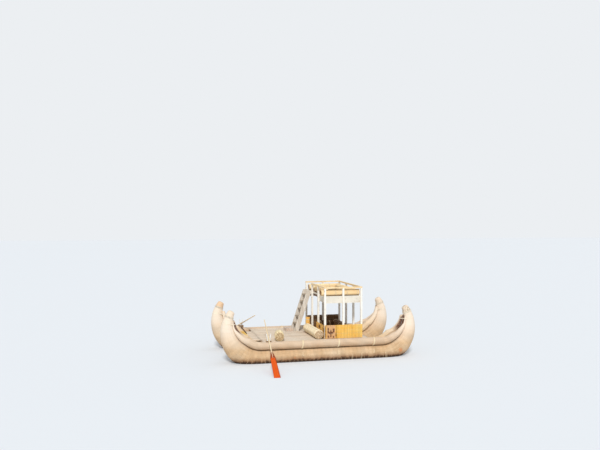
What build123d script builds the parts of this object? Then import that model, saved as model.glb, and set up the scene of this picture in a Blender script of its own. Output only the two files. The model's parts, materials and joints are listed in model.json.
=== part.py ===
from build123d import *
from math import asin, atan, cos, degrees, radians, sin, sqrt, tan
import os

# Twin-hull reed boat with a two-storey sitting platform, a stair and two oars. All sizes in mm.
# Bow towards -X, stern towards +X, port towards -Y, up is +Z. The keels touch Z = 0.

os.makedirs("parts", exist_ok=True)

seat_gap = 0.3               # air between a round piece and its seat

# Hulls: each is one thick bundle with an outer and an inner gunwale roll lashed on top.
hull_length = 7517           # over the outermost points of the horns
hull_spacing = 2950          # from one bundle's axis to the other's
bundle_radius = 430          # amidships
outer_roll_radius = 145
inner_roll_radius = 115
low_bend_radius = 1300       # the sheer starts here
low_bend_angle = 40
high_bend_radius = 1100      # and the horns curl up and back inboard
roll_tip_angle = 104         # the rolls end under the horn's blunt head
horn_tip_angle = 118
horn_cap_length = 90
roll_cap_length = 30
horn_cap_taper = 30
outer_roll_lean = 58         # degrees from level, seen along the hull
inner_roll_lean = 49

# How the horns taper. Columns: angle of rise, share of the bundle's, outer and inner rolls' radius,
# and how far the outer and inner rolls lean. A share of 0 ends the rolls.
horn_taper = [
    (0, 1.00, 1.00, 1.00, outer_roll_lean, inner_roll_lean),
    (low_bend_angle, 0.98, 0.95, 1.15, 58, 62),
    (70, 0.73, 0.66, 0.92, 58, 66),
    (roll_tip_angle, 0.43, 0.42, 0.54, 55, 60),
    (horn_tip_angle, 0.31, 0, 0, 0, 0),
]
widest_share = 0.594         # of the bundle's radius, where the horn stands upright

# Cords bound round each horn's neck, under its head.
horn_band_angle = 109
horn_band_width = 60
horn_band_thickness = 12
horn_band_clearance = 1

# Deck of reeds on round logs across both hulls. Insets run from the horns' outermost points.
log_radius = 50
log_end_gap = 35             # from the outer rolls
fore_log_inset = 100         # foremost log, from the deck's fore edge
fore_log_count = 3           # ahead of the platform's own three
deck_thickness = 60
deck_edge_gap = 14
deck_aft_inset = 1902
deck_fore_inset = 1565
tongue_fore_inset = 955      # a narrower deck runs on between the bow horns
tongue_side_gap = 17
bow_mat_thickness = 25
bow_mat_length = 250
bow_mat_fore_gap = 30
bow_mat_side_gap = 85
fore_pole_radius = 20        # loose pole across the fore deck, aft of the mat
fore_pole_gap = 5
fore_pole_start = 385        # from the centre line to its inboard end
fore_pole_length = 1315
fore_pole_rise = 62          # its outboard end lies on the starboard gunwale roll

# Two-storey platform: posts, floor, white boards, rails.
platform_aft_inset = 240     # from the deck's aft edge to the aft posts' centres
platform_bay = 715
platform_half_width = 1390
end_post_offset = 463        # the end rows have two posts between the corners
post_size = 70
rail_top = 2940
rail_height = 55
board_top = 2600             # also the upper floor's top
board_height = 270
board_thickness = 20
board_lip = 10               # of the fore board under the floor, where the stair arrives
floor_thickness = 50
joist_height = 100
joist_width = 60
joist_count = 5
upper_roll_radius = 120
upper_roll_overhang = 130    # how far the port roll runs out past the fore posts
fore_roll_gap = 100          # from the fore roll's end to the stair
bundle_end_chamfer = 11

# Lower benches and side panels.
panel_height = 500
panel_thickness = 45
panel_overrun = 20           # past the end posts' centres
motif_panel_length = 440
panel_joint = 10
bench_radius = 150
bench_end_gap = 35
fore_bench_radius = 175
fore_bench_overhang = 55     # past the corner post
fore_bench_length = 1755
aft_bench_radius = 165
aft_bench_port_end = -430    # the way in is on the port side of it
end_bundle_radius = 85
end_bundle_height = 590
end_bundle_reach = 175       # ahead of the fore posts, to its axis
end_bundle_chamfer = 8

# Stair.
stair_slope = 71.5
stair_foot_reach = 560       # from the fore posts to the strings' aft edge on the deck
string_depth = 180
string_thickness = 40
stair_width = 640            # over both strings
stair_post_gap = 2           # beside the fore post
string_head = 40             # above the upper floor
string_hook = 100
tread_pitch = 290
tread_count = 5
tread_thickness = 35
tread_depth = 165
step_length = 260
step_width = 480
step_height = 120
step_gap = 40                # ahead of the strings' feet

# Loose bundle used as a stool.
stool_radius = 175
stool_length = 560
stool_thole_gap = 443        # aft of the port thole
stool_edge_gap = 35          # from the deck's port edge
stool_turn = 10              # degrees, its starboard end towards the stern

# Oars. Columns: side of the boat, thole's distance from the bow's outermost point, forward lean outboard.
oar_table = [
    ("port", -1, 1715, 4.3),
    ("starboard", 1, 1265, 14.7),
]
oar_dip = 20                 # outboard end down, degrees
loom_height = 100            # loom's axis over the gunwale roll at the thole block's higher end
loom_radius = 24
handle_radius = 17
neck_radius = 19
inboard_length = 1450
outboard_length = 2620
blade_length = 1720
blade_root_width = 60
blade_width = 225
blade_shoulder = 420         # from the blade's root to where it is nearly full width
blade_shoulder_width = 189
blade_thickness = 24
blade_tip_radius = 60
collar_radius = 31
collar_length = 130
prong_radius = 14
prong_tilt = 10
prong_clearance = 1.2
prong_rise = 175
fork_bar_height = 22
fork_bar_width = 34
fork_bar_gap = 15            # under the collar
fork_stem_radius = 16
fork_stem_length = 22
fork_lift = 5
stem_clearance = 0.5
pad_length = 190
pad_width = 120

# Cords tied round the gunwale rolls.
tie_thickness = 12
tie_width = 26
tie_inset = 322              # aftmost tie, from where the sheer starts
tie_pitch = 1375
tie_count = 3


def rise_point(angle):
    """Distance along the hull and height of the bundle's axis where it climbs at this angle."""
    upright_x = hull_length / 2 - bundle_radius * widest_share
    bend_start = (
        upright_x
        - low_bend_radius * sin(radians(low_bend_angle))
        - high_bend_radius * (1 - sin(radians(low_bend_angle)))
    )
    if angle <= low_bend_angle:
        x = bend_start + low_bend_radius * sin(radians(angle))
        z = bundle_radius + low_bend_radius * (1 - cos(radians(angle)))
        return x, z
    joint_x = bend_start + low_bend_radius * sin(radians(low_bend_angle))
    joint_z = bundle_radius + low_bend_radius * (1 - cos(radians(low_bend_angle)))
    x = joint_x + high_bend_radius * (sin(radians(angle)) - sin(radians(low_bend_angle)))
    z = joint_z + high_bend_radius * (cos(radians(low_bend_angle)) - cos(radians(angle)))
    return x, z


def section_plane(angle):
    """Plane square to the port bundle's axis where it climbs at this angle, local Y inboard of the curl."""
    x, z = rise_point(angle)
    axis = (cos(radians(angle)), 0, sin(radians(angle)))
    return Plane(origin=(x, -hull_spacing / 2, z), x_dir=(0, 1, 0), z_dir=axis)


def roll_offset(radius, roll_radius, lean, lean_before, side):
    """Place of a roll's centre in the section plane, where it leans on the bundle."""
    reach = radius + roll_radius + seat_gap
    reach = reach / cos(radians(lean - lean_before))    # keeps its straight way here off the bundle
    return side * reach * cos(radians(lean)), reach * sin(radians(lean))


def sections(kind):
    """Angle, centre and radius of the bundle or of one roll at each row of the taper table."""
    rows = []
    outer_before, inner_before = outer_roll_lean, inner_roll_lean
    for angle, main, outer, inner, outer_lean, inner_lean in horn_taper:
        radius = bundle_radius * main
        if kind == "bundle":
            rows.append((angle, (0, 0), radius))
        if kind == "outer" and outer > 0:
            roll = outer_roll_radius * outer
            rows.append((angle, roll_offset(radius, roll, outer_lean, outer_before, -1), roll))
        if kind == "inner" and inner > 0:
            roll = inner_roll_radius * inner
            rows.append((angle, roll_offset(radius, roll, inner_lean, inner_before, 1), roll))
        outer_before, inner_before = outer_lean, inner_lean
    return rows


def bend_segment(low, high):
    """One stretch of the port bundle or roll along a bend, between two rows of its sections."""
    ends = [rise_point(angle) for angle in (low[0], (low[0] + high[0]) / 2, high[0])]
    with BuildPart() as stretch:
        with BuildLine() as axis:
            ThreePointArc(*[(x, -hull_spacing / 2, z) for x, z in ends])
        for angle, centre, radius in (low, high):
            with BuildSketch(section_plane(angle)):
                with Locations(centre):
                    Circle(radius)
        sweep(path=axis.wires()[0], multisection=True)
    return stretch.part


def middle_segment(centre, radius):
    """The straight stretch between the two bends."""
    bend_start = rise_point(0)[0]
    line = Plane(origin=(-bend_start, -hull_spacing / 2, bundle_radius), x_dir=(0, 1, 0), z_dir=(1, 0, 0))
    with BuildPart() as stretch:
        with BuildSketch(line):
            with Locations(centre):
                Circle(radius)
        extrude(amount=2 * bend_start)
    return stretch.part


def long_bundle(kind, notches=None):
    """The port hull's bundle or roll from horn tip to horn tip, notched for the logs if asked."""
    rows = sections(kind)
    cap_length = horn_cap_length if kind == "bundle" else roll_cap_length
    stretches = [bend_segment(low, high) for low, high in zip(rows, rows[1:])]
    middle = middle_segment(rows[0][1], rows[0][2])
    with BuildPart() as reeds:
        for stretch in stretches:
            add(stretch)
        with BuildSketch(section_plane(rows[-1][0])):
            with Locations(rows[-1][1]):
                Circle(rows[-1][2])
        extrude(amount=cap_length, taper=horn_cap_taper)
        mirror(about=Plane.YZ)
        add(middle)
        if notches is not None:
            add(notches, mode=Mode.SUBTRACT)
    return reeds.part


def mirrored(part):
    """The starboard twin of a port piece."""
    with BuildPart() as twin:
        mirror(part, about=Plane.XZ)
    return twin.part


def save(part, name):
    part.label = name
    export_step(part, "parts/" + name + ".step")


def save_pair(part, name):
    save(part, "port_" + name)
    save(mirrored(part), "starboard_" + name)


def box_between(low, high):
    """A plain block from its lowest to its highest corner, in the open builder."""
    size = [b - a for a, b in zip(low, high)]
    middle = [(a + b) / 2 for a, b in zip(low, high)]
    with Locations(tuple(middle)):
        Box(*size)


# Heights and reaches that follow from the sizes above.
outer_y, outer_z = sections("outer")[0][1]
outer_roll_y = -hull_spacing / 2 + outer_y
outer_roll_z = bundle_radius + outer_z
log_z = 2 * bundle_radius + log_radius + seat_gap
deck_base = log_z + log_radius + seat_gap
deck_top = deck_base + deck_thickness
outer_roll_face = sqrt(outer_roll_radius**2 - (deck_base - outer_roll_z) ** 2)
deck_half_width = -outer_roll_y - outer_roll_face - deck_edge_gap
inner_y, inner_z = sections("inner")[0][1]
tongue_half_width = hull_spacing / 2 - inner_y - inner_roll_radius - tongue_side_gap
deck_aft_end = hull_length / 2 - deck_aft_inset
deck_fore_end = deck_fore_inset - hull_length / 2
tongue_fore_end = tongue_fore_inset - hull_length / 2
platform_back = deck_aft_end - platform_aft_inset
platform_front = platform_back - 2 * platform_bay
post_rows = [platform_front, platform_front + platform_bay, platform_back]
end_face = post_size / 2
side_face = platform_half_width - end_face          # inboard face of the side posts
stair_port_side = end_post_offset + end_face + stair_post_gap

# Logs across the hulls, under the deck and the platform's posts.
fore_log_x = deck_fore_end + fore_log_inset
fore_log_step = (platform_front - fore_log_x) / fore_log_count
log_places = [fore_log_x + k * fore_log_step for k in range(fore_log_count)] + post_rows
log_length = 2 * (-outer_roll_y - outer_roll_radius - log_end_gap)
log_line = Plane(origin=(0, -log_length / 2, log_z), x_dir=(1, 0, 0), z_dir=(0, 1, 0))
with BuildPart() as cross_logs:
    with BuildSketch(log_line):
        with Locations(*[(x, 0) for x in log_places]):
            Circle(log_radius)
    extrude(amount=log_length)
with BuildPart() as log_space:
    with BuildSketch(log_line):
        with Locations(*[(x, 0) for x in log_places]):
            Circle(log_radius + seat_gap)
    extrude(amount=log_length)
save(cross_logs.part, "cross_logs")

# Hull bundles and their gunwale rolls.
save_pair(long_bundle("bundle"), "hull_bundle")
save_pair(long_bundle("outer"), "outer_roll")
save_pair(long_bundle("inner", log_space.part), "inner_roll")

# Bands of cord round the horns' necks: each a cone's slice that follows the taper.
(neck_low_angle, _, neck_low_radius), (neck_high_angle, _, neck_high_radius) = sections("bundle")[-2:]
neck_slope = (neck_low_radius - neck_high_radius) / radians(neck_high_angle - neck_low_angle) / high_bend_radius
band_past = radians(horn_band_angle - neck_low_angle) * high_bend_radius
band_bore = neck_low_radius - neck_slope * band_past + horn_band_clearance
with BuildPart() as horn_bands:
    with BuildSketch(section_plane(horn_band_angle)):
        Circle(band_bore + horn_band_thickness)
    extrude(amount=horn_band_width, taper=degrees(atan(neck_slope)))
    with BuildSketch(section_plane(horn_band_angle)):
        Circle(band_bore)
    extrude(amount=horn_band_width, taper=degrees(atan(neck_slope)), mode=Mode.SUBTRACT)
    mirror(about=Plane.YZ)
    mirror(about=Plane.XZ)
save(horn_bands.part, "horn_bands")

# Cords tied over the outer rolls, from the groove to the deck's edge.
bundle_seat = middle_segment((0, 0), bundle_radius + seat_gap)
tie_plane = Plane(origin=(0, outer_roll_y, outer_roll_z), x_dir=(0, 1, 0), z_dir=(1, 0, 0))
with BuildPart() as gunwale_ties:
    for k in range(tie_count):
        x = rise_point(0)[0] - tie_inset - k * tie_pitch
        with BuildSketch(tie_plane.offset(x - tie_width / 2)):
            Circle(outer_roll_radius + seat_gap + tie_thickness)
            Circle(outer_roll_radius + seat_gap, mode=Mode.SUBTRACT)
        extrude(amount=tie_width)
    add(bundle_seat, mode=Mode.SUBTRACT)
save_pair(gunwale_ties.part, "gunwale_ties")

# Deck.
with BuildPart() as deck:
    with BuildSketch(Plane.XY.offset(deck_base)):
        with BuildLine():
            Polyline(
                (deck_aft_end, -deck_half_width),
                (deck_aft_end, deck_half_width),
                (deck_fore_end, deck_half_width),
                (deck_fore_end, tongue_half_width),
                (tongue_fore_end, tongue_half_width),
                (tongue_fore_end, -tongue_half_width),
                (deck_fore_end, -tongue_half_width),
                (deck_fore_end, -deck_half_width),
                close=True,
            )
        make_face()
    extrude(amount=deck_thickness)
save(deck.part, "deck")

# Woven mat on the narrow fore deck.
mat_fore = tongue_fore_end + bow_mat_fore_gap
mat_side = tongue_half_width - bow_mat_side_gap
with BuildPart() as bow_mat:
    box_between(
        (mat_fore, -mat_side, deck_top),
        (mat_fore + bow_mat_length, mat_side, deck_top + bow_mat_thickness),
    )
save(bow_mat.part, "bow_mat")

# Loose pole lying across the fore deck, its outboard end up on the gunwale roll.
pole_x = mat_fore + bow_mat_length + fore_pole_gap + fore_pole_radius
pole_way = Vector(0, sqrt(fore_pole_length**2 - fore_pole_rise**2), fore_pole_rise)
pole_seat = (pole_x, fore_pole_start, deck_top + seat_gap + fore_pole_radius)
with BuildPart() as fore_pole:
    with BuildSketch(Plane(origin=pole_seat, x_dir=(1, 0, 0), z_dir=pole_way)):
        Circle(fore_pole_radius)
    extrude(amount=fore_pole_length)
save(fore_pole.part, "fore_pole")


def upright_posts(places):
    """Square posts from the deck to the rail's underside."""
    with BuildPart() as posts:
        with BuildSketch(Plane.XY.offset(deck_top)):
            with Locations(*places):
                Rectangle(post_size, post_size)
        extrude(amount=rail_top - rail_height - deck_top)
    return posts.part


save_pair(upright_posts([(x, -platform_half_width) for x in post_rows]), "posts")
end_places = (-end_post_offset, end_post_offset)
save(upright_posts([(platform_front, y) for y in end_places]), "fore_posts")
save(upright_posts([(platform_back, y) for y in end_places]), "aft_posts")

# Top rail: a frame on the posts, left open over the stair.
rail_low, rail_high = rail_top - rail_height, rail_top
rail_fore, rail_aft = platform_front - end_face, platform_back + end_face
outer_face = platform_half_width + end_face
rail_stair_end = end_post_offset + end_face
with BuildPart() as top_rail:
    box_between((rail_fore, -outer_face, rail_low), (rail_aft, -side_face, rail_high))
    box_between((rail_fore, side_face, rail_low), (rail_aft, outer_face, rail_high))
    box_between((rail_aft - post_size, -outer_face, rail_low), (rail_aft, outer_face, rail_high))
    box_between((rail_fore, -outer_face, rail_low), (rail_fore + post_size, rail_stair_end, rail_high))
save(top_rail.part, "top_rail")

# White boards inside the posts, the upper floor and its joists.
board_base = board_top - board_height
with BuildPart() as side_board:
    box_between(
        (platform_front - end_face, -side_face, board_base),
        (platform_back + end_face, -side_face + board_thickness, board_top),
    )
save_pair(side_board.part, "side_board")
floor_half_width = side_face - board_thickness
floor_fore = platform_front + end_face + board_thickness
floor_aft = platform_back - end_face - board_thickness
with BuildPart() as aft_board:
    box_between(
        (floor_aft, -floor_half_width, board_base),
        (floor_aft + board_thickness, floor_half_width, board_top),
    )
save(aft_board.part, "aft_board")
with BuildPart() as fore_board:
    box_between(
        (floor_fore - board_thickness, -floor_half_width, board_base),
        (floor_fore, -end_post_offset + end_face, board_top),
    )
    box_between(
        (floor_fore - board_thickness, -end_post_offset + end_face, board_top - floor_thickness - board_lip),
        (floor_fore, floor_half_width, board_top),
    )
save(fore_board.part, "fore_board")
with BuildPart() as upper_floor:
    box_between(
        (floor_fore, -floor_half_width, board_top - floor_thickness),
        (floor_aft, floor_half_width, board_top),
    )
save(upper_floor.part, "upper_floor")
joist_top = board_top - floor_thickness
joist_step = (floor_aft - floor_fore - joist_width) / (joist_count - 1)
with BuildPart() as joists:
    for k in range(joist_count):
        x = floor_fore + k * joist_step
        box_between(
            (x, -floor_half_width, joist_top - joist_height),
            (x + joist_width, floor_half_width, joist_top),
        )
save(joists.part, "joists")


def lying_bundle(x, y, radius, length, along):
    """A round reed bundle lying level: x and y of its first end's axis, its turn from the boat's +X, storey."""
    z = {"lower": deck_top, "upper": board_top}[along[1]] + radius + seat_gap
    way = (cos(radians(along[0])), sin(radians(along[0])), 0)
    line = Plane(origin=(x, y, z), x_dir=(-way[1], way[0], 0), z_dir=way)
    with BuildPart() as reeds:
        with BuildSketch(line):
            Circle(radius)
        extrude(amount=length)
        chamfer(reeds.edges(), length=bundle_end_chamfer)
    return reeds.part


# Reed rolls round the upper floor.
upper_y = side_face - seat_gap - upper_roll_radius
roll_aft_end = platform_back - end_face - seat_gap
end_roll_port = -upper_y + upper_roll_radius + seat_gap
fore_roll_end = stair_port_side - fore_roll_gap
roll_overhang_x = platform_front - upper_roll_overhang

# Columns: name, first end's place, length, turn from the boat's +X.
upper_rolls = [
    ("port", roll_overhang_x, -upper_y, roll_aft_end - roll_overhang_x, 0),
    ("starboard", floor_fore, upper_y, roll_aft_end - floor_fore, 0),
    ("aft", roll_aft_end - upper_roll_radius, end_roll_port, -2 * end_roll_port, 90),
    ("fore", floor_fore + upper_roll_radius, end_roll_port, fore_roll_end - end_roll_port, 90),
]
for name, x, y, length, turn in upper_rolls:
    save(lying_bundle(x, y, upper_roll_radius, length, (turn, "upper")), name + "_upper_roll")

# Lower storey: woven panels outside the posts and reed benches inside them.
panel_low_y = -platform_half_width - end_face - seat_gap - panel_thickness
panel_fore = platform_front - panel_overrun
panel_aft = platform_back + panel_overrun
motif_aft = panel_fore + motif_panel_length
panel_high_y = panel_low_y + panel_thickness
panel_head = deck_top + panel_height
with BuildPart() as motif_panel:
    box_between((panel_fore, panel_low_y, deck_top), (motif_aft, panel_high_y, panel_head))
save(motif_panel.part, "port_motif_panel")
with BuildPart() as mat_panel:
    box_between((motif_aft + panel_joint, panel_low_y, deck_top), (panel_aft, panel_high_y, panel_head))
save(mat_panel.part, "port_mat_panel")
with BuildPart() as far_panel:
    box_between((panel_fore, -panel_high_y, deck_top), (panel_aft, -panel_low_y, panel_head))
save(far_panel.part, "starboard_mat_panel")
fore_panel_aft = platform_front - end_face - seat_gap
fore_panel_fore = fore_panel_aft - panel_thickness
with BuildPart() as fore_panel:
    box_between(
        (fore_panel_fore, -outer_face, deck_top),
        (fore_panel_aft, -end_post_offset + panel_overrun, panel_head),
    )
save(fore_panel.part, "fore_mat_panel")
bench_y = side_face - seat_gap - bench_radius
bench_fore = platform_front + end_face + bench_end_gap
aft_bench_x = platform_back - end_face - seat_gap - aft_bench_radius
bench_length = aft_bench_x - aft_bench_radius - bench_end_gap - bench_fore
save_pair(lying_bundle(bench_fore, -bench_y, bench_radius, bench_length, (0, "lower")), "bench")
aft_bench_length = side_face - bench_end_gap - aft_bench_port_end
save(
    lying_bundle(aft_bench_x, aft_bench_port_end, aft_bench_radius, aft_bench_length, (90, "lower")),
    "aft_bench",
)
fore_bench_x = fore_panel_fore - seat_gap - fore_bench_radius
bench_port_end = -outer_face - fore_bench_overhang
end_bundle_y = bench_port_end + fore_bench_length + seat_gap + end_bundle_radius
save(
    lying_bundle(fore_bench_x, bench_port_end, fore_bench_radius, fore_bench_length, (90, "lower")),
    "fore_bench",
)
with BuildPart() as end_bundle:
    with BuildSketch(Plane.XY.offset(deck_top)):
        with Locations((platform_front - end_face - end_bundle_reach, end_bundle_y)):
            Circle(end_bundle_radius)
    extrude(amount=end_bundle_height)
    chamfer(end_bundle.faces().sort_by(Axis.Z)[-1].edges(), length=end_bundle_chamfer)
save(end_bundle.part, "end_bundle")

# Stool: a short loose bundle lying across the fore deck.
stool_x = oar_table[0][2] - hull_length / 2 + stool_thole_gap
stool_port_end = stool_edge_gap - deck_half_width
stool_way = (90 - stool_turn, "lower")
save(lying_bundle(stool_x, stool_port_end, stool_radius, stool_length, stool_way), "stool_bundle")

# Stair from the fore deck to the upper floor.
run = 1 / tan(radians(stair_slope))
string_span = string_depth / sin(radians(stair_slope))
head_z = board_top + string_head
stair_landing = floor_fore - board_thickness - seat_gap
hook_z = board_top - string_hook
stair_foot_aft = platform_front - stair_foot_reach
stair_foot_fore = stair_foot_aft - string_span


def string_line(foot_x, z):
    """X of a string's edge at this height."""
    return foot_x + (z - deck_top) * run


with BuildPart() as stair_strings:
    for y in (stair_port_side, stair_port_side + stair_width - string_thickness):
        with BuildSketch(Plane(origin=(0, y + string_thickness, 0), x_dir=(1, 0, 0), z_dir=(0, -1, 0))):
            with BuildLine():
                Polyline(
                    (stair_foot_fore, deck_top),
                    (stair_foot_aft, deck_top),
                    (string_line(stair_foot_aft, hook_z), hook_z),
                    (stair_landing, hook_z),
                    (stair_landing, head_z),
                    (string_line(stair_foot_fore, head_z), head_z),
                    close=True,
                )
            make_face()
        extrude(amount=string_thickness)
save(stair_strings.part, "stair_strings")
with BuildPart() as stair_treads:
    for k in range(1, tread_count + 1):
        z = deck_top + k * tread_pitch
        middle_x = (string_line(stair_foot_fore, z) + string_line(stair_foot_aft, z)) / 2
        box_between(
            (middle_x - tread_depth / 2, stair_port_side + string_thickness, z - tread_thickness),
            (middle_x + tread_depth / 2, stair_port_side + stair_width - string_thickness, z),
        )
save(stair_treads.part, "stair_treads")
step_aft = stair_foot_fore - step_gap
step_port_side = stair_port_side + (stair_width - step_width) / 2
with BuildPart() as stair_step:
    box_between(
        (step_aft - step_length, step_port_side, deck_top),
        (step_aft, step_port_side + step_width, deck_top + step_height),
    )
save(stair_step.part, "stair_step")


def roll_top_at(x):
    """Height of the outer roll's top this far from amidships, on the straight or on the gentle bend."""
    (_, (_, low_offset), low_radius), (_, (_, high_offset), high_radius) = sections("outer")[:2]
    low_reach = low_offset + low_radius
    high_reach = high_offset + high_radius
    past_bend = max(abs(x) - rise_point(0)[0], 0)
    reach = low_reach
    for _ in range(4):       # the roll thins as it climbs, so its top's arc is found in steps
        rise = asin(past_bend / (low_bend_radius - reach))
        reach = low_reach + (high_reach - low_reach) * degrees(rise) / low_bend_angle
    top = bundle_radius + low_bend_radius - (low_bend_radius - reach) * cos(rise)
    return max(top, bundle_radius + low_reach)


def oar_frame(side, bow_gap, lean):
    """Point where the loom crosses the thole, and the level directions outboard and along the hull."""
    outboard = Vector(-sin(radians(lean)), side * cos(radians(lean)), 0)
    along = Vector(0, 0, 1).cross(outboard)
    x = bow_gap - hull_length / 2
    z = roll_top_at(abs(x) + pad_length / 2) + loom_height
    return Vector(x, -side * outer_roll_y, z), outboard, along


for name, side, bow_gap, lean in oar_table:
    point, outboard, along = oar_frame(side, bow_gap, lean)
    down = radians(oar_dip)
    shaft = outboard * cos(down) - Vector(0, 0, 1) * sin(down)
    grip_end = point - shaft * inboard_length
    blade_root = point + shaft * (outboard_length - blade_length)

    with BuildPart() as loom:
        with BuildSketch(Plane(origin=grip_end, x_dir=along, z_dir=shaft)):
            Circle(handle_radius)
        with BuildSketch(Plane(origin=point, x_dir=along, z_dir=shaft)):
            Circle(loom_radius)
        loft()
        with BuildSketch(Plane(origin=point, x_dir=along, z_dir=shaft)):
            Circle(loom_radius)
        with BuildSketch(Plane(origin=blade_root, x_dir=along, z_dir=shaft)):
            Circle(neck_radius)
        loft()
    save(loom.part, name + "_oar_loom")

    with BuildPart() as blade:
        blade_plane = Plane(origin=blade_root, x_dir=along, z_dir=shaft.cross(along))
        with BuildSketch(blade_plane):
            with BuildLine():
                Polyline(
                    (-blade_root_width / 2, 0),
                    (blade_root_width / 2, 0),
                    (blade_shoulder_width / 2, -blade_shoulder),
                    (blade_width / 2, -blade_length),
                    (-blade_width / 2, -blade_length),
                    (-blade_shoulder_width / 2, -blade_shoulder),
                    close=True,
                )
            make_face()
            fillet(vertices().group_by(Axis.Y)[0], radius=blade_tip_radius)
        extrude(amount=blade_thickness / 2, both=True)
    save(blade.part, name + "_oar_blade")

    with BuildPart() as collar:
        with BuildSketch(Plane(origin=point - shaft * collar_length / 2, x_dir=along, z_dir=shaft)):
            Circle(collar_radius)
        extrude(amount=collar_length)
        with BuildSketch(Plane(origin=point - shaft * collar_length, x_dir=along, z_dir=shaft)):
            Circle(loom_radius + seat_gap)
        extrude(amount=2 * collar_length, mode=Mode.SUBTRACT)
    save(collar.part, name + "_oar_collar")

    # A forked thole turns in a block that sits on the gunwale roll.
    base_z = point.Z - collar_radius - fork_bar_gap - fork_bar_height
    pad_top = base_z - fork_lift
    level = Plane(origin=(point.X, point.Y, base_z), x_dir=along, z_dir=(0, 0, 1))
    with BuildPart() as fork:
        prong_foot = collar_radius + prong_radius + prong_clearance
        with BuildSketch(level):
            Rectangle(2 * prong_foot + 2 * prong_radius, fork_bar_width)
            fillet(vertices(), radius=prong_radius)
        extrude(amount=fork_bar_height)
        with BuildSketch(level.offset(-fork_lift - fork_stem_length)):
            Circle(fork_stem_radius)
        extrude(amount=fork_stem_length + fork_lift)
        for hand in (-1, 1):
            lean_out = along * hand * sin(radians(prong_tilt)) + Vector(0, 0, 1) * cos(radians(prong_tilt))
            foot = point + along * hand * prong_foot
            foot = foot - lean_out * ((point.Z - base_z - fork_bar_height / 2) / cos(radians(prong_tilt)))
            with BuildSketch(Plane(origin=foot, x_dir=outboard, z_dir=lean_out)):
                Circle(prong_radius)
            extrude(amount=prong_rise + point.Z - base_z)
    save(fork.part, name + "_thole_fork")

    fore_x, aft_x = point.X - pad_length / 2, point.X + pad_length / 2
    with BuildPart() as pad:
        with BuildSketch(Plane(origin=(0, point.Y + pad_width / 2, 0), x_dir=(1, 0, 0), z_dir=(0, -1, 0))):
            with BuildLine():
                Polyline(
                    (fore_x, roll_top_at(fore_x) + seat_gap),
                    (aft_x, roll_top_at(aft_x) + seat_gap),
                    (aft_x, pad_top),
                    (fore_x, pad_top),
                    close=True,
                )
            make_face()
        extrude(amount=pad_width)
        with BuildSketch(Plane.XY.offset(pad_top - fork_stem_length - fork_lift)):
            with Locations((point.X, point.Y)):
                Circle(fork_stem_radius + stem_clearance)
        extrude(amount=fork_stem_length + fork_lift, mode=Mode.SUBTRACT)
    save(pad.part, name + "_thole_block")
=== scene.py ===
import json
import math

import bpy
import numpy as np
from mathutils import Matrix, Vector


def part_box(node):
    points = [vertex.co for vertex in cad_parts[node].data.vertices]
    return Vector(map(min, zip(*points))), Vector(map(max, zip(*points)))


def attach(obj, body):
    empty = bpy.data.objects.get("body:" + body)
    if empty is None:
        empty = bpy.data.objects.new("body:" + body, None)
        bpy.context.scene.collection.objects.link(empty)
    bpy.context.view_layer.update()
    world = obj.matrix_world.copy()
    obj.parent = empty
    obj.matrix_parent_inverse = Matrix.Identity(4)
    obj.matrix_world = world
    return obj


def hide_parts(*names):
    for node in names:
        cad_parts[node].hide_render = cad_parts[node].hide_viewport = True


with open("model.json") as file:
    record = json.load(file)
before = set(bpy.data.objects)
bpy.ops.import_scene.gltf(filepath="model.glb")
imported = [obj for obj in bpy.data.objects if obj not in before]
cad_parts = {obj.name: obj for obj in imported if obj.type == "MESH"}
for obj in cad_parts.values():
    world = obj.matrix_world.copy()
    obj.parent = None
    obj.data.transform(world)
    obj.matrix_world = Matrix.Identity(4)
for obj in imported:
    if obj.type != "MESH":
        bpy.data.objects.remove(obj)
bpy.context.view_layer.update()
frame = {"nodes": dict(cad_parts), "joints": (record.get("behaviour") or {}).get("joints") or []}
nodes = frame["nodes"]

# Lengths are in metres. Bow towards -X, port towards -Y, keels at z = 0. Turns of cord that lie side by side
# are "cordPitch" of their radius apart, and each reed of a deck or mat takes one of "tintCount" shades.
waterline = 0.30
cordPitch = 2.05
tintCount = 512
turn = 2 * math.pi
up = np.array([0.0, 0.0, 1.0])
aft = np.array([1.0, 0.0, 0.0])


# Surfaces on grids
def unevenness(along, around, seed, waves=7, shortest=0.35, longest=1.6):
    # sum of sines: each wave has its own pitch along, whole number of lobes around, and phase
    rng = np.random.default_rng(seed)
    pitch = rng.uniform(shortest, longest, waves)
    lobes = rng.integers(0, 4, waves)
    phase = rng.uniform(0, turn, waves)
    total = sum(np.sin(along * turn / p + n * around + f) for p, n, f in zip(pitch, lobes, phase))
    return total / waves


def ringAngles(count):
    # evenly spaced angles of a whole turn
    return np.arange(count) * turn / count


def spokes(angle, first, second):
    # directions at an angle: its cosine times the first, plus its sine times the second
    return np.cos(angle)[..., None] * first + np.sin(angle)[..., None] * second


def squareTo(axis):
    # two unit directions square to an axis and to each other
    side = np.cross(axis, up if abs(axis[2]) < 0.9 else aft)
    side /= np.linalg.norm(side)
    return side, np.cross(axis, side)


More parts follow.
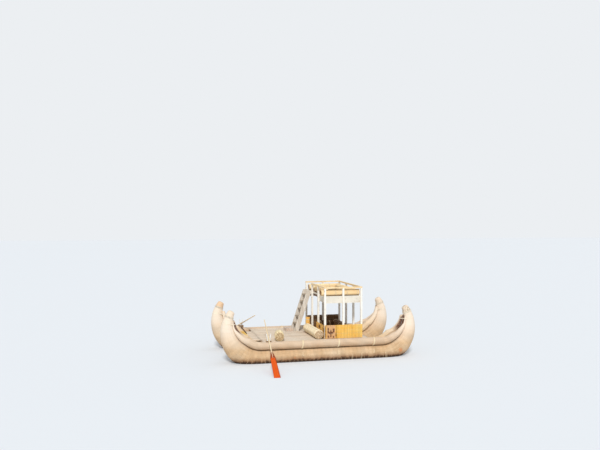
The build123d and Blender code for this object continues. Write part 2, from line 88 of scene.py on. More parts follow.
def gridPart(points, mapping, **attributes):
    # quads between the rows of a grid whose last column meets its first, and a fan round a pole at each end
    rows, cols = points.shape[:2]
    r, c = np.meshgrid(np.arange(rows - 1), np.arange(cols), indexing="ij")
    n = (c + 1) % cols
    quads = np.stack([r * cols + c, r * cols + n, (r + 1) * cols + n, (r + 1) * cols + c], -1)
    corners = np.stack([mapping[r, c], mapping[r, c + 1], mapping[r + 1, c + 1], mapping[r + 1, c]], -2)
    c, n, pole = c[0], n[0], np.full(cols, rows * cols)
    first = np.stack([n, c, pole], -1)
    last = np.stack([(rows - 1) * cols + c, (rows - 1) * cols + n, pole + 1], -1)
    firstUv = np.stack([mapping[0, c + 1], mapping[0, c], mapping[0, c]], -2)
    lastUv = np.stack([mapping[-1, c], mapping[-1, c + 1], mapping[-1, c]], -2)
    fields = {k: np.broadcast_to(v, (rows, cols)).reshape(-1) for k, v in attributes.items()}
    return outward({
        "points": np.concatenate([points.reshape(-1, 3), [points[0].mean(0), points[-1].mean(0)]]),
        "quads": quads.reshape(-1, 4), "uv": corners.reshape(-1, 4, 2),
        "tris": np.concatenate([first, last]), "triUv": np.concatenate([firstUv, lastUv]),
        "attributes": {k: np.concatenate([v, v[:1], v[-1:]]) for k, v in fields.items()},
    })


def outward(part):
    # turns every face of a closed part round if the volume they enclose comes out negative
    p, q, t = part["points"] - part["points"].mean(0), part["quads"], part["tris"]
    corners = np.concatenate([p[q[:, [0, 1, 2]]], p[q[:, [0, 2, 3]]], p[t]])
    if np.einsum("ij,ij->i", corners[:, 0], np.cross(corners[:, 1], corners[:, 2])).sum() < 0:
        part["quads"], part["uv"] = q[:, ::-1], part["uv"][:, ::-1]
        part["tris"], part["triUv"] = t[:, ::-1], part["triUv"][:, ::-1]
    return part


def meshPiece(name, parts, material, replaced=(), body="hull"):
    # one mesh object from many parts; the first rows of loops are quads, the rest triangles
    counts = np.cumsum([0] + [len(p["points"]) for p in parts])
    points = np.concatenate([p["points"] for p in parts])
    quads = np.concatenate([p["quads"] + o for p, o in zip(parts, counts)])
    tris = np.concatenate([p["tris"] + o for p, o in zip(parts, counts)])
    corners = np.concatenate([quads.ravel(), tris.ravel()])
    starts = np.concatenate([np.arange(len(quads)) * 4, len(quads) * 4 + np.arange(len(tris)) * 3])
    totals = np.concatenate([np.full(len(quads), 4), np.full(len(tris), 3)])
    mesh = bpy.data.meshes.new(name)
    mesh.vertices.add(len(points))
    mesh.vertices.foreach_set("co", points.astype(np.float32).ravel())
    mesh.loops.add(len(corners))
    mesh.loops.foreach_set("vertex_index", corners.astype(np.int32))
    mesh.polygons.add(len(starts))
    mesh.polygons.foreach_set("loop_start", starts.astype(np.int32))
    mesh.polygons.foreach_set("loop_total", totals.astype(np.int32))
    mesh.update(calc_edges=True)
    uv = np.concatenate([p[key].reshape(-1, 2) for key in ("uv", "triUv") for p in parts])
    mesh.uv_layers.new(name="reedMap").data.foreach_set("uv", uv.astype(np.float32).ravel())
    for key in parts[0]["attributes"]:
        values = np.concatenate([p["attributes"][key] for p in parts])
        mesh.attributes.new(key, "FLOAT", "POINT").data.foreach_set("value", values.astype(np.float32))
    mesh.polygons.foreach_set("use_smooth", np.ones(len(starts), bool))
    mesh.materials.append(materials[material])
    piece = bpy.data.objects.new(name, mesh)
    bpy.context.scene.collection.objects.link(piece)
    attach(piece, body)
    if replaced:
        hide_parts(*replaced)
    return piece


def domeProfile(steps):
    # shares of the radius and of the bulge: cosine and sine of evenly spaced angles
    angle = np.linspace(0, math.radians(80), steps + 1)[1:]
    return np.stack([np.cos(angle), np.sin(angle)], -1)


def roundedEnds(rings, bulge, profile):
    # more rings that close both ends: each shrinks and moves out by its row of the profile
    closed = []
    for end, inner in ((rings[0], rings[1]), (rings[-1], rings[-2])):
        centre = end.mean(0)
        out = centre - inner.mean(0)
        out = bulge * out / np.linalg.norm(out)
        closed.append(centre + (end - centre) * profile[:, 0, None, None] + out * profile[:, 1, None, None])
    return np.concatenate([closed[0][::-1], rings, closed[1]])


def grownBy(rows, fields):
    # the same fields with their first and last rows repeated for the rings of the rounded ends
    return {k: np.pad(v, ((rows, rows), (0, 0)), mode="edge") for k, v in fields.items()}


def ringMapping(rings):
    # metres along the middle line, and metres around the widest ring, for a UV map
    middle = rings.mean(1)
    along = np.concatenate([[0], np.cumsum(np.linalg.norm(np.diff(middle, axis=0), axis=1))])
    loop = np.concatenate([rings, rings[:, :1]], 1)
    steps = np.linalg.norm(np.diff(loop, axis=1), axis=2).max(0)
    around = np.concatenate([[0], np.cumsum(steps)])
    return np.stack(np.meshgrid(along, around, indexing="ij"), -1)


def flatMapping(along, across):
    # two fields of metres as a UV map, with the first column repeated after the last
    return np.stack([np.concatenate([v, v[:, :1]], 1) for v in (along, across)], -1)


def cordPart(path, radius, normal, sides=6, closed=False, shade=0.5):
    # a round section carried along a path; the normal is any direction that is never along it
    if closed:
        path = np.concatenate([path, path[:1]])
    tangent = np.gradient(path, axis=0)
    if closed:
        tangent[0] = tangent[-1] = path[1] - path[-2]
    tangent /= np.linalg.norm(tangent, axis=1)[:, None]
    side = np.cross(tangent, normal)
    side /= np.linalg.norm(side, axis=1)[:, None]
    other = np.cross(side, tangent)
    rings = path[:, None] + radius * spokes(ringAngles(sides), side[:, None], other[:, None])
    return gridPart(rings, ringMapping(rings), groove=0.0, shade=shade)


# Materials
materials = {}


def tone(red, green, blue):
    # a colour written as 0 to 255 on screen, turned to the linear values that the sockets take
    c = np.array([red, green, blue]) / 255
    linear = np.where(c > 0.04045, ((c + 0.055) / 1.055) ** 2.4, c / 12.92)
    return (*linear.tolist(), 1)


def newMaterial(name, roughness, specular=0.3):
    # a material with a plain shader, kept under its name
    material = bpy.data.materials.new(name)
    material.use_nodes = True
    materials[name] = material
    tree = material.node_tree
    shader = tree.nodes["Principled BSDF"]
    shader.inputs["Roughness"].default_value = roughness
    shader.inputs["Specular IOR Level"].default_value = specular
    return tree, shader


def addNode(tree, kind, inputs=None, **settings):
    # a new node: a socket given as an input is linked, any other value is set
    node = tree.nodes.new("ShaderNode" + kind)
    for key, value in settings.items():
        setattr(node, key, value)
    for key, value in (inputs or {}).items():
        if isinstance(value, bpy.types.NodeSocket):
            tree.links.new(value, node.inputs[key])
        else:
            node.inputs[key].default_value = value
    return node


# Each of these adds one node and gives its output
def objectPlace(tree):
    return addNode(tree, "TexCoord").outputs["Object"]


def reedMap(tree):
    return addNode(tree, "UVMap", uv_map="reedMap").outputs["UV"]


def heightOf(tree, place):
    return addNode(tree, "SeparateXYZ", {0: place}).outputs["Z"]


def attributeOf(tree, name):
    return addNode(tree, "Attribute", attribute_name=name).outputs["Fac"]


def noiseOf(tree, vector, scale, detail=3.0, rough=0.55):
    inputs = {"Vector": vector, "Scale": scale, "Detail": detail, "Roughness": rough}
    return addNode(tree, "TexNoise", inputs).outputs["Fac"]


def streaksOf(tree, vector, scale, detail=3.0, rough=0.55, turned=(0, 0, 0)):
    # noise drawn out along the directions whose scale is small
    inputs = {"Vector": vector, "Scale": scale, "Rotation": turned}
    return noiseOf(tree, addNode(tree, "Mapping", inputs).outputs["Vector"], 1.0, detail, rough)


def ranged(tree, value, low, high, outLow=0.0, outHigh=1.0):
    # a value carried from the range low to high over to another range, and held within it
    inputs = {"Value": value, "From Min": low, "From Max": high, "To Min": outLow, "To Max": outHigh}
    return addNode(tree, "MapRange", inputs).outputs["Result"]


def product(tree, first, second, operation="MULTIPLY"):
    return addNode(tree, "Math", {0: first, 1: second}, operation=operation).outputs["Value"]


def blended(tree, factor, first, second, how="MIX"):
    # the inputs of a colour mix are numbered 0, 6 and 7, its output 2
    inputs = {0: factor, 6: first, 7: second}
    return addNode(tree, "Mix", inputs, data_type="RGBA", blend_type=how).outputs[2]


def finishWith(tree, shader, colour, height, strength, distance):
    # colour and bump into the shader; the distance is the bump's full height in metres
    tree.links.new(colour, shader.inputs["Base Color"])
    bump = addNode(tree, "Bump", {"Height": height, "Strength": strength, "Distance": distance})
    tree.links.new(bump.outputs["Normal"], shader.inputs["Normal"])


# How the reeds weather, with light and shade painted in: painted shade in grooves, seams and the horns'
# hollows, painted light higher up the hulls, and painted shade low on the hulls and at the water. Levels are
# heights over the keels where a stain or painted shade begins and where it is full.
weatherAndShade = {
    "groove": tone(96, 66, 40), "grooveShare": 0.65, "shadeRange": (0.78, 1.12),
    "sunlit": tone(242, 228, 210), "sunlitLevels": (0.80, 1.50), "sunlitShare": 0.75,
    "hollow": tone(104, 62, 42), "head": tone(218, 170, 116), "headShare": 0.6, "spots": tone(126, 108, 70),
    "stain": tone(116, 70, 34), "stainAndShadeLevels": (0.46, 0.28), "stainAndShadeShare": 0.95, "ragged": 0.16,
    "flecks": tone(96, 62, 36), "fleckLevels": (0.56, 0.40), "rust": tone(198, 104, 34), "rustShare": 0.8,
    "wet": tone(52, 36, 22), "wetAndShadeLevels": (0.34, 0.27), "wetAndShadeShare": 0.93,
}
# Rust-orange blots. Columns: x, y, z, reach.
rustSpots = [(3.02, -1.84, 0.56, 0.16), (-1.10, -1.88, 0.46, 0.11), (0.72, 1.86, 0.50, 0.13)]


def reedMaterial(name, pale, dark, bleached, fibre=(1.5, 90), patch=1.4, afloat=False, bump=0.5):
    # stems run along the map's first direction: fine streaks across it, and slow patches bleached by the sun
    tree, shader = newMaterial(name, 0.72)
    mapped, place = reedMap(tree), objectPlace(tree)
    stems = streaksOf(tree, mapped, (fibre[0], fibre[1], 1), 4.0, 0.6)
    fine = streaksOf(tree, mapped, (fibre[0] * 4, fibre[1] * 3, 1), 2.0)
    streak = product(tree, ranged(tree, stems, 0.32, 0.68), ranged(tree, fine, 0.3, 0.7, 0.55, 1.0))
    colour = blended(tree, streak, tone(*dark), tone(*pale))
    patches = ranged(tree, noiseOf(tree, place, patch), 0.42, 0.72, 0.0, 0.75)
    colour = blended(tree, patches, colour, tone(*bleached))
    shade = ranged(tree, attributeOf(tree, "shade"), 0.0, 1.0, *weatherAndShade["shadeRange"])
    shade = addNode(tree, "CombineColor", {0: shade, 1: shade, 2: shade}).outputs[0]
    colour = blended(tree, 1.0, colour, shade, "MULTIPLY")
    # painted shade: darker in the lashing's grooves, between stems, along seams and inside cut stem ends
    groove = product(tree, attributeOf(tree, "groove"), weatherAndShade["grooveShare"])
    colour = blended(tree, groove, colour, weatherAndShade["groove"])
    if afloat:
        sunlit = ranged(tree, heightOf(tree, place), *weatherAndShade["sunlitLevels"], 0.0, weatherAndShade["sunlitShare"])
        colour = blended(tree, sunlit, colour, weatherAndShade["sunlit"])
        colour = stainedAndShadedLow(tree, hornShadeAndMarks(tree, colour, place), place)
    finishWith(tree, shader, colour, product(tree, stems, fine, "ADD"), bump, 0.006)


def hornShadeAndMarks(tree, colour, place):
    # painted red-brown shade in the hollow between bundle and rolls, and tan heads with brown spots
    mottled = ranged(tree, noiseOf(tree, place, 7.0), 0.3, 0.6, 0.8, 1.0)
    hollow = product(tree, attributeOf(tree, "hollow"), mottled)
    colour = blended(tree, hollow, colour, weatherAndShade["hollow"])
    head = product(tree, attributeOf(tree, "head"), weatherAndShade["headShare"])
    colour = blended(tree, head, colour, weatherAndShade["head"])
    spots = ranged(tree, noiseOf(tree, place, 20.0, 2.0), 0.50, 0.62, 0.0, 0.75)
    return blended(tree, product(tree, spots, attributeOf(tree, "spotted")), colour, weatherAndShade["spots"])


def stainedAndShadedLow(tree, colour, place):
    # height less ragged noise: a rust-brown stain that is also painted shade low on the hull, dark flecks
    # and orange blots, then a dark band at the water that is wet reeds and painted shade
    ragged = product(tree, streaksOf(tree, place, (9, 9, 1.5)), weatherAndShade["ragged"])
    level = product(tree, heightOf(tree, place), ragged, "SUBTRACT")
    stain = product(tree, ranged(tree, level, *weatherAndShade["stainAndShadeLevels"]), weatherAndShade["stainAndShadeShare"])
    colour = blended(tree, stain, colour, weatherAndShade["stain"])
    flecks = ranged(tree, streaksOf(tree, place, (30, 30, 70), 2.0), 0.62, 0.70, 0.0, 0.55)
    flecks = product(tree, flecks, ranged(tree, level, *weatherAndShade["fleckLevels"]))
    colour = blended(tree, flecks, colour, weatherAndShade["flecks"])
    for spot in rustSpots:
        away = addNode(tree, "VectorMath", {0: place, 1: spot[:3]}, operation="DISTANCE").outputs["Value"]
        away = product(tree, away, product(tree, ragged, 0.6), "ADD")
        blot = product(tree, ranged(tree, away, spot[3], 0.4 * spot[3]), weatherAndShade["rustShare"])
        colour = blended(tree, blot, colour, weatherAndShade["rust"])
    wet = product(tree, ranged(tree, level, *weatherAndShade["wetAndShadeLevels"]), weatherAndShade["wetAndShadeShare"])
    return blended(tree, wet, colour, weatherAndShade["wet"])


def woodMaterial(name, pale, dark, scale, turned=(0, 0, 0), paint=None, wear=0.5, bump=0.35):
    # grain: noise stretched along the timber; paint lies over it, worn through where slow noise is high
    tree, shader = newMaterial(name, 0.62)
    place = objectPlace(tree)
    grain = streaksOf(tree, place, scale, 5.0, 0.65, turned)
    colour = blended(tree, ranged(tree, grain, 0.34, 0.66), tone(*dark), tone(*pale))
    mottled = noiseOf(tree, place, 3.1, 3.0)
    colour = blended(tree, ranged(tree, mottled, 0.45, 0.75, 0.0, 0.35), colour, tone(*dark))
    if paint is not None:
        fresh = tone(*paint)
        dusty = tuple(0.86 * v for v in fresh[:3]) + (1,)
        worn = product(tree, ranged(tree, noiseOf(tree, place, 9.0, 6.0, 0.7), wear, wear + 0.07),
                       ranged(tree, grain, 0.38, 0.55))
        tinted = blended(tree, ranged(tree, mottled, 0.4, 0.7), fresh, dusty)
        colour = blended(tree, worn, tinted, colour)
    finishWith(tree, shader, colour, grain, bump, 0.004)


# Reeds, cords and mats. Columns: name, pale, dark and bleached tones, and what else is their own.
rollFibre, cordFibre, cutFibre = {"fibre": (2, 70)}, {"fibre": (150, 30)}, {"fibre": (20, 200)}
reedTable = [
    ("hullReeds", (228, 198, 158), (192, 152, 108), (215, 192, 161), {"afloat": True}),
    ("rollReeds", (217, 188, 154), (184, 146, 108), (206, 184, 157), {"afloat": True}),
    ("innerReeds", (244, 216, 170), (208, 162, 106), (232, 210, 170), {"afloat": True}),
    ("goldReeds", (255, 214, 128), (228, 160, 68), (248, 206, 132), rollFibre),
    ("creamReeds", (255, 238, 196), (232, 188, 126), (250, 230, 188), rollFibre),
    # painted shade: dark brown reeds for the parts that lie in shade under the upper floor
    ("paintedShadeReeds", (150, 108, 66), (80, 52, 28), (120, 90, 58), rollFibre),
    # paler cream, partly the bench's own tone and partly painted light on its sunward side
    ("paleAndLitBenchReeds", (255, 248, 220), (246, 214, 164), (255, 240, 208), rollFibre),
    ("stoolReeds", (255, 246, 210), (238, 206, 150), (252, 238, 196), rollFibre),
    ("cutReeds", (204, 146, 80), (120, 76, 36), (170, 124, 68), cutFibre),
    ("tipReeds", (238, 210, 164), (178, 136, 88), (206, 182, 138), cutFibre),
    ("deckReeds", (240, 228, 210), (206, 182, 156), (230, 217, 199), {"fibre": (0.8, 60)}),
    ("goldMat", (255, 216, 112), (240, 172, 64), (255, 224, 136), {"fibre": (3, 50), "patch": 2.2}),
    ("grassCord", (248, 236, 206), (206, 180, 138), (232, 218, 186), cordFibre),
    ("lashCord", (244, 222, 188), (208, 174, 132), (228, 208, 176), cordFibre),
    ("hornCord", (255, 246, 228), (238, 222, 196), (250, 238, 218), cordFibre),
    ("poleWood", (252, 236, 202), (220, 190, 146), (240, 220, 184), {"fibre": (3, 130), "bump": 0.3}),
]
for name, pale, dark, bleached, settings in reedTable:
    reedMaterial(name, pale, dark, bleached, **settings)
print("materials of reed done")

# Hulls. "widestShare" is the horn's radius where it stands farthest out, as a share of the bundle's.
hull = {
    "length": 7.517, "spacing": 2.950, "radius": 0.430, "widestShare": 0.594, "seatGap": 0.0003,
    "lowRadius": 1.300, "lowAngle": 40, "highRadius": 1.100,
    "neckAngle": 109, "neckWidth": 0.060, "neckPinch": 0.004, "headFade": 0.05,
    "slowSink": 0.009, "quickSink": 0.003, "stemSink": 0.0025, "stemShade": 0.18, "seamShade": 0.95,
    "touchSpread": 0.06, "grooveWidth": 0.013, "cordRadius": 0.0028, "cordMargin": 0.16, "station": 0.025,
    "perTurn": 20, "grooveRise": (35, 80), "grooveLeft": 0.15, "seamRise": (66, 86),
}
# The strands of a hull. Angles are in degrees round the section, from outboard over the top: where a strand
# touches the others, the middle and width of the seam's painted shade, and the painted red-brown shade in
# the hollow of the horn, by its upper edge on the bundle and by its middle on the rolls. "hollowRise" is the
# climb between which that painted shade comes in, stays full and goes out again.
rollStrand = {
    "tipAngle": 104, "headLength": 0.022, "headShade": 0.6, "around": 36, "pitch": 0.105,
    "grooveDepth": 0.0018, "grooveShade": 0.10, "hollowRise": (55, 74, 100, 104),
}
strands = {
    "bundle": {
        "tipAngle": 118, "headLength": 0.083, "headShade": 1.0, "around": 80, "pitch": 0.150,
        "grooveDepth": 0.0035, "grooveShade": 0.28, "hollowRise": (58, 72, 104, 107.5), "hollowEdge": 113,
        "touches": (58, 116), "seam": (51, 6),
        "piece": "HullBundle", "node": "_hull_bundle", "material": "hullReeds",
    },
    "outer": {
        **rollStrand, "radius": 0.145, "touches": (238,), "seam": (-108, 15), "hollow": 200,
        "piece": "OuterRoll", "node": "_outer_roll", "material": "rollReeds",
    },
    "inner": {
        **rollStrand, "radius": 0.115, "touches": (-62,), "seam": (0, 1), "hollow": 5,
        "piece": "InnerRoll", "node": "_inner_roll", "material": "innerReeds",
    },
}
# How the horns taper. Columns: angle of rise, share of the bundle's radius.
hornTaper = np.array([(0, 1.00), (40, 0.98), (70, 0.73), (104, 0.43), (118, 0.31)])
# Columns: angle of rise, share of the roll's radius, lean from level. The outer rolls thin out early.
rollTaper = {
    "outer": np.array([(0, 1.00, 58), (40, 0.95, 58), (70, 0.62, 58), (79, 0.44, 57), (87, 0.24, 54),
                       (104, 0.14, 51)]),
    "inner": np.array([(0, 1.00, 49), (40, 1.15, 62), (70, 0.92, 66), (104, 0.54, 60)]),
}
# Columns: shares of the radius and of the head's length, from the last section to the flat of cut stems.
hornHead = np.array([(0.985, 0.25), (0.945, 0.46), (0.87, 0.65), (0.76, 0.81), (0.62, 0.93), (0.45, 1.00)])
# Columns: angle of rise, and half the width of the painted shade in the bundle's hollow, in radians.
hollowReach = np.array([(70, 0.42), (84, 0.52), (98, 0.52), (107, 0.42)])
# Tan and spots on the cut heads, by side: tan at the bow and at the stern, spots at the stern.
headMarks = {-1: (0.15, 0.15, 1.0), 1: (1.0, 0.15, 0.2)}
rollTan = 0.5


def straightReach():
    # half the straight run: half the length, less the horn's radius and what the two arcs reach
    low = math.sin(math.radians(hull["lowAngle"]))
    upright = hull["length"] / 2 - hull["radius"] * hull["widestShare"]
    return upright - hull["lowRadius"] * low - hull["highRadius"] * (1 - low)


def hullPath(arc):
    # straight amidships, then two arcs: x, z and rise of the axis for a signed length along it
    low = math.radians(hull["lowAngle"])
    past = np.abs(arc) - straightReach()
    first = np.clip(past / hull["lowRadius"], 0, low)
    second = np.clip((past - hull["lowRadius"] * low) / hull["highRadius"], 0, None)
    angle = first + second
    x = np.minimum(np.abs(arc), straightReach()) + hull["lowRadius"] * np.sin(first)
    x = x + hull["highRadius"] * (np.sin(angle) - np.sin(low)) * (second > 0)
    z = hull["radius"] + hull["lowRadius"] * (1 - np.cos(first))
    z = z + hull["highRadius"] * (np.cos(low) - np.cos(angle)) * (second > 0)
    return x * np.sign(arc), z, angle


def arcAt(angle):
    # length along the axis where it climbs at this many degrees, past the low bend
    low = hull["lowAngle"]
    bend = hull["lowRadius"] * math.radians(low) + hull["highRadius"] * math.radians(angle - low)
    return straightReach() + bend


def neckMiddle():
    # length along the axis to the middle of the neck's binding, where the head begins
    return arcAt(hull["neckAngle"]) + hull["neckWidth"] / 2


def bundleRadius(degrees):
    # the full radius times the share at this rise
    return hull["radius"] * np.interp(degrees, hornTaper[:, 0], hornTaper[:, 1])


def rollOffsets(kind):
    # a roll's centre in the section plane at each row of its taper, where it leans on the bundle, and its
    # radius; where the lean changes, the reach is divided by the cosine of the change
    rows = rollTaper[kind]
    roll = strands[kind]["radius"] * rows[:, 1]
    lean = np.radians(rows[:, 2])
    before = np.concatenate([lean[:1], lean[:-1]])
    reach = (bundleRadius(rows[:, 0]) + roll + hull["seatGap"]) / np.cos(lean - before)
    return reach * np.cos(lean), reach * np.sin(lean), roll


def strandFrame(arc, kind, side):
    # centre and radius of a strand along the hull, with its directions outboard and up the section
    x, z, angle = hullPath(arc)
    degrees = np.degrees(angle)
    lift = np.stack([-np.sin(angle) * np.sign(arc), np.zeros_like(arc), np.cos(angle)], -1)
    outboard = np.broadcast_to(np.array([0.0, side, 0.0]), lift.shape)
    centre = np.stack([x, np.full_like(x, side * hull["spacing"] / 2), z], -1)
    if kind == "bundle":
        return centre, bundleRadius(degrees), outboard, lift
    out, high, roll = (np.interp(degrees, rollTaper[kind][:, 0], values) for values in rollOffsets(kind))
    way = 1 if kind == "outer" else -1
    return centre + way * out[:, None] * outboard + high[:, None] * lift, roll, outboard, lift


def hornMarks(kind, side, s, a, rise):
    # fields that colour a horn: tan and spots begin where the head does, and the painted shade of the hollow
    # is a flat-topped hump of the angle round the section, e to the minus fourth or sixth power of it
    strand = strands[kind]
    if kind == "bundle":
        headFrom = neckMiddle()
        tan = np.where(s > 0, headMarks[side][1], headMarks[side][0])
        half = np.interp(rise, hollowReach[:, 0], hollowReach[:, 1])
        hollow = np.exp(-((a - math.radians(strand["hollowEdge"]) + half) / half) ** 6)
    else:
        headFrom = arcAt(strand["tipAngle"]) - hull["headFade"]
        tan = rollTan
        hollow = np.exp(-(a - math.radians(strand["hollow"])) ** 4)
    head = strand["headShade"] * np.clip((np.abs(s) - headFrom) / hull["headFade"], 0, 1)
    hollow = hollow * np.interp(rise, strand["hollowRise"], [0, 1, 1, 0])
    return {"head": head * tan, "spotted": head * (s > 0) * headMarks[side][2], "hollow": hollow}


def hullSkin(kind, side, seed):
    # radius = the taper's, less slow unevenness, less a shallow groove along the helix of the lashing, less
    # furrows between the stems, less a pinch at the neck's binding
    strand = strands[kind]
    tip = arcAt(strand["tipAngle"])
    arc = np.linspace(-tip, tip, int(2 * tip / hull["station"]))
    centre, radius, outboard, lift = strandFrame(arc, kind, side)
    s, a = np.meshgrid(arc, ringAngles(strand["around"]) - turn / 3, indexing="ij")
    rise = np.degrees(hullPath(arc)[2])[:, None]
    phase = np.mod(s / strand["pitch"] - a / turn, 1) - 0.5
    groove = np.exp(-((phase * strand["pitch"] / hull["grooveWidth"]) ** 2))
    groove = groove * np.interp(rise, hull["grooveRise"], [1, hull["grooveLeft"]])
    furrow = 1 - np.abs(np.sin(a * strand["around"] / 8 + 1.5 * np.sin(s * 0.7 + seed)))
    slow = hull["slowSink"] * (1 - unevenness(s, a, seed))
    quick = unevenness(s, a * 3, seed + 1, waves=9, shortest=0.12, longest=0.4)
    slow = slow + hull["quickSink"] * (1 - quick)
    near = np.minimum(1, radius / radius.max() + 0.25)[:, None]
    # strands keep their full radius where they touch, so that no light shows between them
    close = [np.exp((np.cos(a - math.radians(d)) - 1) / hull["touchSpread"]) for d in strand["touches"]]
    loose = 1 - np.clip(sum(close), 0, 1)
    r = radius[:, None] * (1 - slow * loose)
    r = r - near * (strand["grooveDepth"] * groove + hull["stemSink"] * furrow * loose)
    if kind == "bundle":
        r = r - hull["neckPinch"] * np.exp(-((np.abs(s) - neckMiddle()) / (hull["neckWidth"] / 2)) ** 2)
    # painted shade: the seam where strands touch, the lashing's groove and the furrows between stems all
    # darken the groove field
    seam = np.exp(-((np.degrees(a) - strand["seam"][0]) / strand["seam"][1]) ** 2)
    seam = hull["seamShade"] * seam * np.interp(rise, hull["seamRise"], [1, 0])
    fields = {
        "groove": groove * strand["grooveShade"] + furrow ** 4 * hull["stemShade"] + seam,
        "shade": 0.5 + 0.5 * unevenness(s, a, seed + 2, waves=9, shortest=0.15, longest=0.8),
        **hornMarks(kind, side, s, a, rise),
    }
    rings = centre[:, None] + r[..., None] * spokes(a, outboard[:, None], lift[:, None])
    rings = roundedEnds(rings, strand["headLength"], hornHead)
    skin = gridPart(rings, ringMapping(rings), **grownBy(len(hornHead), fields))
    return skin, helixCord(arc, centre, radius, outboard, lift, strand["pitch"])


def helixCord(arc, centre, radius, outboard, lift, pitch):
    # a cord on the same helix, half sunk in its groove
    fine = np.arange(arc[0] + hull["cordMargin"], arc[-1] - hull["cordMargin"], pitch / hull["perTurn"])
    middle = np.stack([np.interp(fine, arc, centre[:, k]) for k in range(3)], -1)
    rise = np.stack([np.interp(fine, arc, lift[:, k]) for k in range(3)], -1)
    r = np.interp(fine, arc, radius) * 0.992 - 0.6 * hull["cordRadius"]
    radial = spokes((fine / pitch - 0.5) * turn, outboard[0], rise)
    return cordPart(middle + r[:, None] * radial, hull["cordRadius"], radial, sides=4)


for side, sideName in ((-1, "port"), (1, "starboard")):
    cords = []
    for k, (kind, strand) in enumerate(strands.items()):
        skin, cord = hullSkin(kind, side, 10 * k + 3 + side)
        replaced = [sideName + strand["node"]]
        meshPiece(sideName + strand["piece"], [skin], strand["material"], replaced)
        cords.append(cord)
    meshPiece(sideName + "Lashing", cords, "lashCord")
print("hulls done")

# Cut stems. Pitches are shares of a stem's radius on a hexagonal grid, size is the range of the shares.
stemSet = {
    "pitch": 2.1, "rowPitch": 1.82, "jitter": 0.2, "size": (0.75, 1.05), "sides": 6, "spread": 0.003,
    "hollowDepth": 0.012,
}
# groove of each stem's rings: painted shade deepening into its hollow end
stemShade = np.array([0, 0, 0.5, 1.0])[:, None]


def reedEnds(centre, axis, radius, reedRadius, seed, length=0.03):
    # cut stems packed inside a circle: each a short tube with a hollow end, a little in or out of the rest
    rng = np.random.default_rng(seed)
    axis = axis / np.linalg.norm(axis)
    side, other = squareTo(axis)
    n = int(radius / reedRadius) + 2
    i, j = np.meshgrid(np.arange(-n, n + 1), np.arange(-n, n + 1), indexing="ij")
    u = (i + 0.5 * (j % 2)) * stemSet["pitch"] * reedRadius
    v = j * stemSet["rowPitch"] * reedRadius
    inside = np.hypot(u, v) < radius - reedRadius
    u, v = u[inside], v[inside]
    u = u + rng.uniform(-stemSet["jitter"], stemSet["jitter"], u.size) * reedRadius
    v = v + rng.uniform(-stemSet["jitter"], stemSet["jitter"], u.size) * reedRadius
    size = reedRadius * rng.uniform(*stemSet["size"], u.size)
    out = rng.uniform(-stemSet["spread"], stemSet["spread"], u.size)
    shades = rng.uniform(0, 1, u.size)
    # Columns: share of the stem's radius, way out along it.
    profile = np.array([(1.0, -length), (0.97, 0.0), (0.68, 0.0), (0.6, -stemSet["hollowDepth"])])
    places = centre + u[:, None] * side + v[:, None] * other + out[:, None] * axis
    ring = spokes(ringAngles(stemSet["sides"]), side, other)
    parts = []
    for place, r, shade in zip(places, size, shades):
        rings = place + profile[:, 0, None, None] * r * ring + profile[:, 1, None, None] * axis
        parts.append(gridPart(rings, ringMapping(rings), groove=stemShade, shade=shade))
    return parts


# Bindings at the horns. Angles are angles of rise.
hornTips = {
    "reed": 0.008, "share": 0.47, "stemLength": 0.05, "bindAngle": 97, "bindTurns": 4, "bindCord": 0.0045,
    "bindShare": 0.985, "bindPoints": 96, "neckTurns": 5, "neckCord": 0.0058, "neckGap": 0.0045,
    "neckPoints": 64,
}


def hornBand(arc, side):
    # a cord round all three strands: at each angle the farthest reach of the three circles, and sideways by
    # the slope of that reach
    main, _, outboard, lift = strandFrame(arc, "bundle", side)
    angle = ringAngles(hornTips["bindPoints"])
    way = np.stack([np.cos(angle), np.sin(angle)], -1)
    reach = []
    for kind in strands:
        centre, radius, _, _ = strandFrame(arc, kind, side)
        offset = centre[0] - main[0]
        middle = np.array([offset @ outboard[0], offset @ lift[0]])
        reach.append(way @ middle + radius[0] * hornTips["bindShare"])
    reach = np.max(reach, 0)
    slope = (np.roll(reach, -1) - np.roll(reach, 1)) / (2 * angle[1])
    flat = reach[:, None] * way + slope[:, None] * np.stack([-way[:, 1], way[:, 0]], -1)
    loop = main[0] + flat[:, :1] * outboard[0] + flat[:, 1:] * lift[0]
    return cordPart(loop, hornTips["bindCord"], np.cross(outboard[0], lift[0]), closed=True)


def neckCords(side, sign):
    # turns of cord side by side round the bundle's neck, a little sunk in the reeds
    cords = []
    spacing = hull["neckWidth"] / hornTips["neckTurns"]
    for k in range(hornTips["neckTurns"]):
        arc = np.array([sign * (arcAt(hull["neckAngle"]) + (k + 0.5) * spacing)])
        centre, radius, outboard, lift = strandFrame(arc, "bundle", side)
        ring = spokes(ringAngles(hornTips["neckPoints"]), outboard[0], lift[0])
        loop = centre[0] + (radius[0] + hornTips["neckGap"]) * ring
        axis = np.cross(outboard[0], lift[0])
        cords.append(cordPart(loop, hornTips["neckCord"], axis, closed=True, shade=0.2))
    return cords


